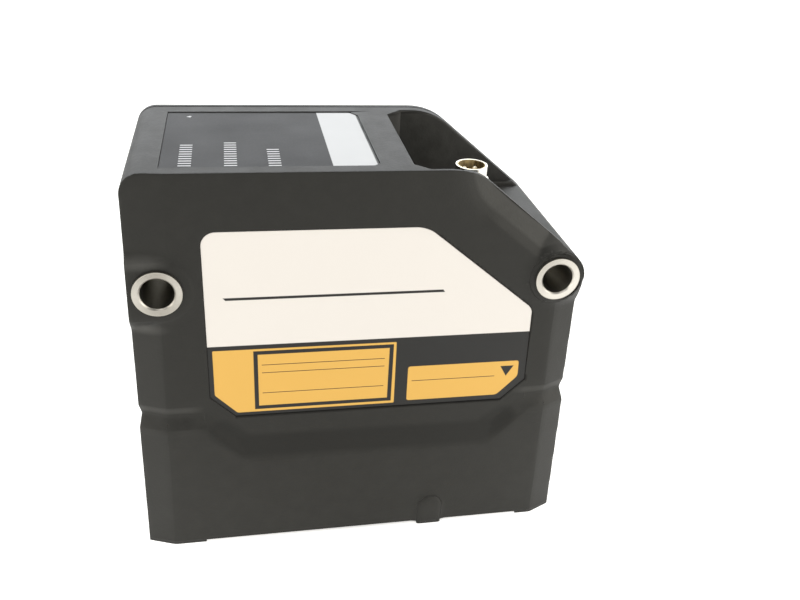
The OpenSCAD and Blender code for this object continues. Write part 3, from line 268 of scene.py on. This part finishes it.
metalLooks = {  # the same for bare metals
    "screws": ((0.24, 0.235, 0.22), (0.42, 0.41, 0.385), 0.34, 0.15, 0.006),
    "nut": ((0.45, 0.43, 0.39), (0.6, 0.58, 0.53), 0.28, 0.2, 0.004),
    "chassis": ((0.4, 0.4, 0.41), (0.55, 0.55, 0.56), 0.5, 0.3, 0.02),
    "barrel": ((0.012, 0.012, 0.013), (0.03, 0.03, 0.032), 0.45, 0.2, 0.006),
    "holder": ((0.45, 0.46, 0.47), (0.6, 0.61, 0.62), 0.32, 0.25, 0.005),
}
for slotName, look in plainLooks.items():
    finishes[slotName] = plainFinish(slotName + "Finish", *look)
for slotName, look in metalLooks.items():
    finishes[slotName] = plainFinish(slotName + "Finish", *look, metallic=1.0)
goldLook = ((0.96, 0.86, 0.64), (1.0, 0.95, 0.82), 0.3, 0.2, 0.003)  # dull gilt, to show in the deep socket
finishes["gold"] = plainFinish("goldFinish", *goldLook, metallic=0.2)


# Clear pieces, slightly dusty
def clearFinish(name, tint, dust):
    paint = Paint(name, Transmission_Weight=1.0, IOR=1.5)
    specks = paint.noise(0.8, 5, 0.7)
    return paint.feed(Base_Color=paint.mix(specks, tint, dust), Roughness=specks * 0.06 + 0.01)


finishes["window"] = clearFinish("windowGlass", (0.8, 0.88, 0.9), (0.7, 0.76, 0.78))
finishes["lens"] = clearFinish("lensGlass", (0.9, 0.95, 0.97), (0.82, 0.86, 0.88))
finishes["filter"] = clearFinish("filterGlass", (0.5, 0.02, 0.03), (0.4, 0.03, 0.04))


# Turned stainless sleeves: fine rings on the ends, a bore painted dark as shade
sleeveLook = {"left": (-41.4, 65.75), "right": (40.4, 65.75), "bore": 3.34, "rim": 4.66, "ringRate": 42,
              "dark": (0.3, 0.28, 0.245), "light": (0.57, 0.547, 0.497),
              "boreShade": (0.2, 0.19, 0.165), "scuffed": (0.42, 0.4, 0.35)}


def turnedSteel():
    paint = Paint("sleeveSteel", Metallic=1.0)
    x, y, z = paint.axes()
    look = sleeveLook
    isRight = x.inside(1)
    apart = look["right"][0] - look["left"][0]
    across = x - isRight * apart - look["left"][0]
    tall = z - look["left"][1]
    radius = (across * across + tall * tall).root()
    # painted reflection: a bow-tie sheen on the left ring, darkened overall, and a lighter gradient on the
    # right ring, lit from the right
    bowTieSheen = (across * across - tall * tall) / (radius * radius).most(0.1)
    paintedSheen = (bowTieSheen * 0.18 - 0.12) * (1 - isRight) + isRight * ((across - tall) / radius.most(0.5) * 0.22 + 0.27)
    rings = (radius * look["ringRate"]).sine() * 0.5 + 0.5
    streaks = paint.noise(0.5, 4, 0.7, paint.stretched(1, 0.1, 1))
    patches = paint.noise(3.5, 3, 0.6)
    face = paint.mix(rings * 0.25 + streaks * 0.35 + patches * 0.3 + paintedSheen, look["dark"], look["light"])
    # painted shade: the bore's wall is darkened, and the right bore is painted lighter as lit from the right
    wall = paint.mix(streaks * 0.7 + patches * 0.3 + isRight * 0.4, look["boreShade"], look["scuffed"])
    isFace = (radius - look["bore"]).inside(0.06)
    edge = (radius - look["rim"]).inside(0.12).most((look["bore"] + 0.12 - radius).inside(0.1))
    face = paint.mix(edge * 0.7, face, look["scuffed"])
    return paint.feed(Base_Color=paint.mix(isFace, wall, face), Normal=paint.bump(rings * isFace, 0.012),
                      Roughness=rings * 0.08 + streaks * 0.14 + patches * 0.08 + 0.2)


finishes["sleeve"] = turnedSteel()


# Plated connector shell, gilt inside
shellLook = {"axis": (25.4, -0.7), "rim": 3.32, "ringRate": 16, "dark": (0.62, 0.58, 0.5),
             "light": (0.86, 0.84, 0.79), "gilt": (0.1, 0.07, 0.03), "giltLight": (0.95, 0.78, 0.45)}


def platedShell():
    paint = Paint("connectorPlating")
    x, y, z = paint.axes()
    look = shellLook
    radius = ((x - look["axis"][0]) ** 2 + (y - look["axis"][1]) ** 2).root()
    rings = (z * look["ringRate"]).sine() * 0.5 + 0.5
    wear = paint.noise(1.2, 4, 0.65)
    outside = paint.mix(wear * 0.8 + rings * 0.2, look["dark"], look["light"])
    streaks = paint.noise(2.6, 2, 0.5, paint.stretched(1, 1, 0.2))  # dark and bright gilt streaks run down the socket's wall
    inside = paint.mix((streaks - 0.5).inside(0.22) * 0.8 + wear * 0.2, look["gilt"], look["giltLight"])
    isOuter = (radius - look["rim"]).inside(0.05)
    return paint.feed(Base_Color=paint.mix(isOuter, inside, outside), Metallic=isOuter * 0.35 + 0.65,
                      Roughness=wear * 0.14 + rings * 0.04 + 0.1)


finishes["connector"] = platedShell()


# Printed film on the labelled side: fields of colour only
sideLabel = {
    "white": (0.635, 0.6, 0.557), "whiteShade": (0.585, 0.55, 0.505),
    "dark": (0.0075, 0.0073, 0.0066), "darkShade": (0.014, 0.0135, 0.0122),
    "yellow": (0.605, 0.355, 0.077), "yellowShade": (0.59, 0.33, 0.055),
    "boundary": 52.5, "rule": [(-28.6, 63.15), (16.3, 63.2), (15.9, 63.8), (-29.1, 63.75)],
    "leftField": [(-27.2, 35.6), (6.85, 35.6), (6.7, 51.45), (-31.75, 51.45), (-31.75, 40.4)],
    "rightField": [(9.7, 36.0), (30.5, 36.0), (35.0, 40.8), (34.8, 44.95), (9.6, 44.95)],
    "frame": (-23.5, 6.15, 36.2, 50.95), "frameWidth": 0.9,
    "arrow": [(32.2, 41.0), (33.75, 43.7), (30.65, 43.7)],
    "leftRules": (-21.8, 4.3, (47.45, 45.5, 40.35)), "rightRules": (10.6, 29.5, (41.15,)), "ruleWidth": 0.16,
}


def printedFilm():
    paint = Paint("sideLabelFilm", Specular_IOR_Level=0.3)
    x, y, z = paint.axes()
    look = sideLabel
    grain = paint.noise(0.35, 2, 0.5)
    cloud = paint.noise(12, 3, 0.5)
    upper = (z - look["boundary"]).inside(0.12) * (1 - paint.field(x, z, look["rule"]))
    leftField = paint.field(x, z, look["leftField"], 0.12, 0.4)
    rightField = paint.field(x, z, look["rightField"], 0.12, 0.9)
    left, right, low, high = look["frame"]
    ink = paint.field(x, z, look["arrow"])
    for inset, sign in ((0, 1), (look["frameWidth"], -1)):
        outline = corners(left + inset, right - inset, low + inset, high - inset)
        ink = ink + paint.field(x, z, outline) * sign
    for start, end, heights in (look["leftRules"], look["rightRules"]):
        for height in heights:
            ink = ink + paint.line(x, z, start, end, height, look["ruleWidth"])
    yellow = (leftField + rightField) * (1 - ink)
    shade = cloud * 0.16 + grain * 0.06
    white = paint.mix(shade, look["white"], look["whiteShade"])
    gold = paint.mix(shade, look["yellow"], look["yellowShade"])
    dark = paint.mix(cloud, look["dark"], look["darkShade"])
    colour = paint.mix(upper, paint.mix(yellow, dark, gold), white)
    return paint.feed(Base_Color=colour, Roughness=cloud * 0.15 + grain * 0.08 + 0.36,
                      Normal=paint.bump(grain, 0.003))


finishes["side_label"] = printedFilm()


# Printed film on the top
topLabel = {
    "grey": (0.008, 0.008, 0.0082), "greyShade": (0.015, 0.015, 0.0155), "edgeShadowTone": (0.003, 0.003, 0.003),
    "white": (0.62, 0.63, 0.635), "whiteShade": (0.54, 0.55, 0.55), "fieldLeft": -7.1,
    "strokeRows": [(-34.9, -17.0, -4.3), (-26.4, -17.1, -3.3), (-18.1, -17.3, -7.1)],  # middle, start and end
    "rowWidth": 2.4, "strokePitch": 1.3, "strokeWidth": 0.5,
    "chip": [(-35.5, 13.75), (-34.7, 13.2), (-34.4, 14.1), (-34.8, 14.3)],
    "edges": (1.9, 16.75), "edgeWidth": 0.3,
}


def topFilm():
    paint = Paint("topLabelFilm", Specular_IOR_Level=0.21)
    x, y, z = paint.axes()
    look = topLabel
    grain = paint.noise(0.3, 2, 0.5)
    cloud = paint.noise(10, 3, 0.5)
    ink = (x - look["fieldLeft"]).inside(0.12)
    half = look["rowWidth"] / 2
    for middle, low, high in look["strokeRows"]:
        patch = paint.field(x, y, corners(middle - half, middle + half, low, high))
        along = ((y - low) / look["strokePitch"]).maths("FRACT") * look["strokePitch"]
        ink = ink + patch * (look["strokeWidth"] - along).inside(0.12)
    # a small white speck near the film's far-left corner
    ink = ink + paint.field(x, y, look["chip"])
    right, far = look["edges"]
    rim = (far - y).least(right - x)  # painted shadow along the film's right and far edges
    edgeShadow = (look["edgeWidth"] - rim).inside(0.2) * (cloud * 0.4 + 0.6)
    grey = paint.mix(cloud * 0.7 + grain * 0.3, look["grey"], look["greyShade"])
    white = paint.mix(cloud * 0.3, look["white"], look["whiteShade"])
    colour = paint.mix(edgeShadow, paint.mix(ink, grey, white), look["edgeShadowTone"])
    return paint.feed(Base_Color=colour, Roughness=cloud * 0.14 + grain * 0.1 + edgeShadow * 0.4 + 0.43,
                      Normal=paint.bump(grain, 0.004))


finishes["top_label"] = topFilm()

for part in frame["record"]["subparts"]:
    mesh = nodes[part["node"]].data
    mesh.materials.clear()
    mesh.materials.append(finishes[part["material_slot"]])
print("finishes assigned:", len(finishes))


# Case and cover with the soft edges and blends of a moulding
caseForm = {
    "merge": 0.015, "flat": 0.3,  # reach of doubled points, bend in degrees of faces that count as flat
    "edge": 0.45, "rim": 0.5, "leftRim": 0.9, "leftRimEnd": 9.5, "steps": 4,  # radii of edges and pocket rims
    "bend": 0.6, "sharp": 32,  # least bend of a rounded edge in radians, of a sharp one in degrees
    "pocket": (8.5, -20.3, 18, 72),  # left, near, far and lowest reach of the pocket's rim
    "front": -18.2, "recess": -20.85,  # where the labelled side ends, and the floor under its label
    "cell": 0.75, "cellSpan": ((-48, 48), (1, 89)),  # the grid that is bent
    "sample": 0.25, "sampleSpan": ((-49, 49), (-1, 91)),  # the grid of depths that it follows
    "blend": 0.45, "stiff": 0.05,  # width of the usual blend and its stiffness
    "broadSpots": (  # x, z, full reach, fading reach, width and stiffness of each broader blend
        (-34.0, 36.5, 2.5, 6.0, 1.4, 50), (37.2, 36.5, 2.5, 6.0, 1.4, 50),
        (-41.8, 34.5, 1.5, 3.5, 1.0, 50), (41.8, 34.5, 1.5, 3.5, 1.0, 50),
        (40.4, 65.75, 7.0, 10.0, 0.8, 50), (21.0, 85.5, 4.5, 10.0, 2.4, 0.05),
    ),
    "bossSkirt": (40.4, 65.75, 5.6, 2.2, -21.7, 0.75),  # x, z, foot radius, reach in radii, depth and fall
}
frontWay, backWay = Vector((0, -1, 0)), Vector((0, 1, 0))


def mergedMesh(node):
    bm = bmesh.new()
    bm.from_mesh(node.data)
    bmesh.ops.remove_doubles(bm, verts=bm.verts, dist=caseForm["merge"] * mm)
    bmesh.ops.dissolve_limit(bm, angle_limit=math.radians(caseForm["flat"]), use_dissolve_boundaries=False,
                             verts=bm.verts, edges=bm.edges)
    return bm


def isBent(edge):  # outwards
    return len(edge.link_faces) == 2 and edge.calc_face_angle_signed(0) >= caseForm["bend"]


def isOuterEdge(edge, tree, way):  # from a broad side to a narrow one other than the foot, in the open
    if not isBent(edge):
        return False
    for broad, narrow in (edge.link_faces, reversed(edge.link_faces)):
        if broad.normal.dot(way) > 0.6 and abs(narrow.normal.dot(way)) < 0.3 and narrow.normal.z > -0.9:
            middle = (edge.verts[0].co + edge.verts[1].co) / 2
            start = middle - way * 0.1 * mm + narrow.normal * 0.02 * mm
            return tree.ray_cast(start, narrow.normal)[0] is None
    return False


def isPocketRim(edge):  # between the outer skin and the pocket's walls
    if not isBent(edge):
        return False
    middle = (edge.verts[0].co + edge.verts[1].co) / (2 * mm)
    left, near, far, low = caseForm["pocket"]
    if middle.x < left or not near < middle.y < far or middle.z < low:
        return False
    heights = sorted(face.normal.z for face in edge.link_faces)
    return heights[1] > 0.5 and abs(heights[0]) < 0.1


def roundEdges(bm, edges, width):
    bmesh.ops.bevel(bm, geom=edges, offset=width * mm, offset_type="OFFSET", segments=caseForm["steps"],
                    profile=0.5, affect="EDGES", clamp_overlap=False, loop_slide=True, material=-1)


def isRecess(depth, normal):  # the floor under the label
    return abs(depth - caseForm["recess"]) < 0.03 and normal.y < -0.999


def isFront(face):
    depth = face.calc_center_median().y / mm
    return depth < caseForm["front"] and face.normal.y < -0.3 and not isRecess(depth, face.normal)


def cutCells(bm):  # a fine grid over the labelled side, for its blends to bend
    faces = [f for f in bm.faces if isFront(f)]
    geom = faces + list({e for f in faces for e in f.edges}) + list({v for f in faces for v in f.verts})
    for axis, (low, high) in zip((0, 2), caseForm["cellSpan"]):
        place = low
        while place <= high:
            spot, way = Vector((0, 0, 0)), Vector((0, 0, 0))
            spot[axis], way[axis] = place * mm, 1
            geom = bmesh.ops.bisect_plane(bm, geom=geom, dist=1e-7, plane_co=spot, plane_no=way)["geom"]
            place += caseForm["cell"]


def softHeights(bm):  # depth of the labelled side over a grid, blurred as a mould maker's radii would
    tree = BVHTree.FromBMesh(bm)
    step = caseForm["sample"]
    xs, zs = (np.arange(low, high + step, step) for low, high in caseForm["sampleSpan"])
    depth, known = np.zeros((len(xs), len(zs))), np.zeros((len(xs), len(zs)))
    ahead = -100  # the rays start well before the labelled side
    for i, x in enumerate(xs):
        for j, z in enumerate(zs):
            spot, normal = tree.ray_cast(Vector((x, ahead, z)) * mm, backWay)[:2]
            if spot is None or spot.y > caseForm["front"] * mm or normal.y > -0.2:
                continue
            if not isRecess(spot.y / mm, normal):
                depth[i, j], known[i, j] = spot.y / mm, 1
    soft = blurred(depth, known, caseForm["blend"] / step, caseForm["stiff"])
    for x, z, inner, outer, width, stiff in caseForm["broadSpots"]:
        far = np.hypot(xs[:, None] - x, zs[None, :] - z)
        share = np.clip((outer - far) / (outer - inner), 0, 1)
        share = share * share * (3 - 2 * share)
        soft = soft * (1 - share) + blurred(depth, known, width / step, stiff) * share
    x, z, foot, reach, level, fall = caseForm["bossSkirt"]  # the fillet below the right boss
    far = np.hypot(xs[:, None] - x, zs[None, :] - z)
    skirt = np.where((far > foot) & (far < reach * foot), level + fall * (far - foot), 0)
    return xs[0], zs[0], step, np.minimum(soft, skirt)


def moment(layer, kernel, offsets, i, j):  # sum around each place, weighted by powers of the offsets
    for axis, power in ((0, i), (1, j)):
        taps = kernel * (-offsets) ** power
        layer = np.apply_along_axis(lambda row: np.convolve(row, taps, "same"), axis, layer)
    return layer


def blurred(depth, known, width, stiff):  # a plane fitted around each place, so open edges keep their slope
    reach = int(3 * width)
    offsets = np.arange(-reach, reach + 1, dtype=float)
    kernel = np.exp(-0.5 * (offsets / width) ** 2)
    terms = ((0, 0), (1, 0), (0, 1))
    sums = {(i, j): moment(known, kernel, offsets, i, j) for i in range(3) for j in range(3 - i)}
    fit = np.stack([np.stack([sums[a + c, b + d] for c, d in terms], -1) for a, b in terms], -2)
    tiny = 1e-9  # keeps empty places solvable
    steady = sums[0, 0] * stiff * width ** 2 + tiny  # keeps narrow strips from tilting
    fit = fit + np.eye(3) * np.stack([np.full_like(steady, tiny), steady, steady], -1)[..., None]
    pull = np.stack([moment(depth, kernel, offsets, i, j) for i, j in terms], -1)
    return np.linalg.solve(fit, pull[..., None])[..., 0, 0]


def readLayer(layer, u, v):  # between the four nearest samples
    i, j = int(u), int(v)
    s, t = u - i, v - j
    return ((layer[i, j] * (1 - s) + layer[i + 1, j] * s) * (1 - t)
            + (layer[i, j + 1] * (1 - s) + layer[i + 1, j + 1] * s) * t)


def blendFront(bm):
    x0, z0, step, depth = softHeights(bm)
    moved = {v for f in bm.faces if isFront(f) for v in f.verts}
    for v in moved:
        u, w = (v.co.x / mm - x0) / step, (v.co.z / mm - z0) / step
        v.co.y = readLayer(depth, u, w) * mm
    bm.normal_update()
    folded = [f for f in bm.faces if f.normal.y > 0.2 and all(v in moved for v in f.verts)]
    bmesh.ops.collapse(bm, edges=[min(f.edges, key=lambda e: e.calc_length()) for f in folded])
    bmesh.ops.dissolve_degenerate(bm, edges=bm.edges, dist=2e-6)
    print("folded slivers closed:", len(folded))


def finishMoulding(bm, name, slotName, nodeName):
    mesh = bpy.data.meshes.new(name)
    bm.to_mesh(mesh)
    bm.free()
    mesh.shade_smooth()
    mesh.set_sharp_from_angle(angle=math.radians(caseForm["sharp"]))
    mesh.materials.append(finishes[slotName])
    piece = bpy.data.objects.new(name, mesh)
    bpy.context.scene.collection.objects.link(piece)
    weighted = piece.modifiers.new("flatSides", "WEIGHTED_NORMAL")
    weighted.mode, weighted.weight, weighted.keep_sharp = "FACE_AREA", 50, True
    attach(piece, "root")
    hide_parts(nodeName)
    print(name, len(mesh.polygons), "faces")


def makeCase():
    bm = mergedMesh(nodes["housing"])
    tree = BVHTree.FromBMesh(bm)
    outer = [e for e in bm.edges if isOuterEdge(e, tree, frontWay)]
    roundEdges(bm, outer, caseForm["edge"])
    rim = [e for e in bm.edges if isPocketRim(e)]
    leftRim = [e for e in rim if max(v.co.x for v in e.verts) < caseForm["leftRimEnd"] * mm]
    roundEdges(bm, leftRim, caseForm["leftRim"])
    roundEdges(bm, [e for e in bm.edges if isPocketRim(e)], caseForm["rim"])
    cutCells(bm)
    blendFront(bm)
    finishMoulding(bm, "softCase", "case", "housing")


def makeCover():
    bm = mergedMesh(nodes["side_cover"])
    tree = BVHTree.FromBMesh(bm)
    roundEdges(bm, [e for e in bm.edges if isOuterEdge(e, tree, backWay)], caseForm["edge"])
    finishMoulding(bm, "softCover", "cover", "side_cover")


makeCase()
makeCover()


# Connector pins with rounded tips
pinForm = {"Pitch": 2.4 * mm, "Radius": 0.5 * mm, "Rounding": 0.5 * mm}


def pinTree(inputs):
    tree = bpy.data.node_groups.new("roundedPins", "GeometryNodeTree")
    tree.interface.new_socket("Pins", in_out="OUTPUT", socket_type="NodeSocketGeometry")
    kinds = {float: "NodeSocketFloat", tuple: "NodeSocketVector"}
    keys = {name: tree.interface.new_socket(name, in_out="INPUT", socket_type=kinds[type(value)]).identifier
            for name, value in inputs.items()}
    graph = Graph(tree)
    given = tree.nodes.new("NodeGroupInput")
    pitch, radius, rounding, length, foot = (Wire(graph, given.outputs[name]) for name in inputs)
    spread = graph.node("GeometryNodeMeshGrid", None, {
        "Size X": pitch, "Size Y": pitch, "Vertices X": 2, "Vertices Y": 2})
    points = graph.node("GeometryNodeTransform", None, {"Geometry": spread, "Translation": foot})
    steps, sides = 28, 20  # along a pin and round it
    line = graph.node("GeometryNodeResampleCurve", None, {
        "Curve": graph.node("GeometryNodeCurvePrimitiveLine"), "Count": steps})
    along = graph.node("GeometryNodeSplineParameter")
    height = (1 - (1 - along) ** 4) * length  # steps crowd towards the tip
    spine = graph.node("GeometryNodeSetPosition", None, {
        "Geometry": line, "Position": graph.node("ShaderNodeCombineXYZ", None, {"Z": height})})
    level = graph.node("ShaderNodeSeparateXYZ", None, {0: graph.node("GeometryNodeInputPosition")}, 2)
    short = ((length - level) / rounding).least(1).most(0.0004)
    girth = (short * (2 - short)).root()
    ring = graph.node("GeometryNodeCurvePrimitiveCircle", None, {"Resolution": sides, "Radius": radius})
    pin = graph.node("GeometryNodeCurveToMesh", None, {
        "Curve": spine, "Profile Curve": ring, "Scale": girth, "Fill Caps": True})
    smooth = graph.node("GeometryNodeSetShadeSmooth", None, {0: pin})
    copies = graph.node("GeometryNodeInstanceOnPoints", None, {"Points": points, "Instance": smooth})
    solid = graph.node("GeometryNodeRealizeInstances", None, {0: copies})
    gilt = graph.node("GeometryNodeSetMaterial", None, {"Geometry": solid, "Material": finishes["gold"]})
    graph.join(tree.nodes.new("NodeGroupOutput").inputs[0], gilt)
    return tree, keys


def makePins():
    spots = np.array([v.co for v in nodes["connector_pins"].data.vertices])
    low, high = spots.min(axis=0), spots.max(axis=0)
    middle = (low + high) / 2
    foot = (float(middle[0]), float(middle[1]), float(low[2]))
    inputs = {**pinForm, "Length": float(high[2] - low[2]), "Foot": foot}
    tree, keys = pinTree(inputs)
    piece = bpy.data.objects.new("roundPins", bpy.data.meshes.new("roundPins"))
    bpy.context.scene.collection.objects.link(piece)
    modifier = piece.modifiers.new("pins", "NODES")
    modifier.node_group = tree
    for name, value in inputs.items():
        modifier[keys[name]] = value
    made = bpy.data.meshes.new_from_object(piece.evaluated_get(bpy.context.evaluated_depsgraph_get()))
    piece.modifiers.remove(modifier)
    piece.data = made
    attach(piece, "root")
    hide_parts("connector_pins")
    print("roundPins", len(made.polygons), "faces")


makePins()


# Floor, light and camera
stageLook = {"floor": 6.0, "floorTone": (0.86, 0.86, 0.84), "floorShade": (0.84, 0.84, 0.84),
             "floorGlow": 0.42, "nearGlow": 1.35, "glowTint": (1, 0.99, 0.96), "glowSpot": (130, -60, 140),
             "worldTone": (0.96, 0.98, 1.0), "worldStrength": 0.38}


def makeFloor():
    half = stageLook["floor"] / 2
    mesh = bpy.data.meshes.new("floor")
    mesh.from_pydata([(*c, 0) for c in corners(-half, half, -half, half)], [], [(0, 1, 2, 3)])
    floor = bpy.data.objects.new("floor", mesh)
    bpy.context.scene.collection.objects.link(floor)
    paint = Paint("floorPaper", Emission_Strength=1.0)
    x, y, z = paint.axes()
    paper = paint.noise(40, 2, 0.5)
    aside, ahead, reach = stageLook["glowSpot"]  # a brighter patch on either side
    near = (1 - ((abs(x) - aside) ** 2 + (y - ahead) ** 2).root() / reach).most(0)
    glows = [[stageLook[key] * part for part in stageLook["glowTint"]] for key in ("floorGlow", "nearGlow")]
    tone = paint.mix(paper, stageLook["floorTone"], stageLook["floorShade"])
    mesh.materials.append(paint.feed(Base_Color=tone, Emission_Color=paint.mix(near, *glows),
                                     Roughness=paper * 0.1 + 0.7))


lamps = {  # place, target, width, height, power and tint of each soft light
    "backdrop": ((0.05, 1.3, 0.75), (0.0, 0, 0.35), 2.2, 1.2, 24.0, (0.95, 0.975, 1.0)),
    "overhead": ((-0.45, -0.35, 1.3), (0, 0, 0.05), 0.9, 0.7, 5.0, (1.0, 0.98, 0.95)),
    "rightWall": ((1.12, -0.6, 0.42), (0, 0, 0.05), 1.9, 0.9, 17.5, (1.0, 0.97, 0.92)),
    "leftWall": ((-1.15, -0.35, 0.4), (0, 0, 0.05), 1.4, 0.7, 9.0, (1.0, 0.97, 0.92)),
}


def makeLamp(name, place, target, width, height, power, tint):
    data = bpy.data.lights.new(name, "AREA")
    data.shape, data.size, data.size_y = "RECTANGLE", width, height
    data.energy, data.color = power, tint
    lamp = bpy.data.objects.new(name, data)
    lamp.location = place
    lamp.rotation_euler = (Vector(target) - Vector(place)).to_track_quat("-Z", "Y").to_euler()
    bpy.context.scene.collection.objects.link(lamp)


world = bpy.data.worlds.new("studio")
world.use_nodes = True
background = world.node_tree.nodes["Background"]
background.inputs["Color"].default_value = (*stageLook["worldTone"], 1)
background.inputs["Strength"].default_value = stageLook["worldStrength"]
bpy.context.scene.world = world
bpy.context.scene.view_settings.view_transform = "Standard"
makeFloor()
for lampName, lampLook in lamps.items():
    makeLamp(lampName, *lampLook)

cameraLook = {
    "place": (-0.02558, -0.16889, 0.14576), "right": (0.98147, -0.18324, 0.05605),
    "up": (0.04112, 0.48710, 0.87238), "lens": 37.587, "sensor": 36.0, "clip": 0.01,
}
right, up = Vector(cameraLook["right"]).normalized(), Vector(cameraLook["up"]).normalized()
backward = right.cross(up)
lensData = bpy.data.cameras.new("camera")
lensData.lens, lensData.sensor_width = cameraLook["lens"], cameraLook["sensor"]
lensData.clip_start = cameraLook["clip"]
camera = bpy.data.objects.new("camera", lensData)
turn = Matrix((right, up, backward)).transposed().to_4x4()
camera.matrix_world = Matrix.Translation(cameraLook["place"]) @ turn
bpy.context.scene.collection.objects.link(camera)
bpy.context.scene.camera = camera
print("stage ready")
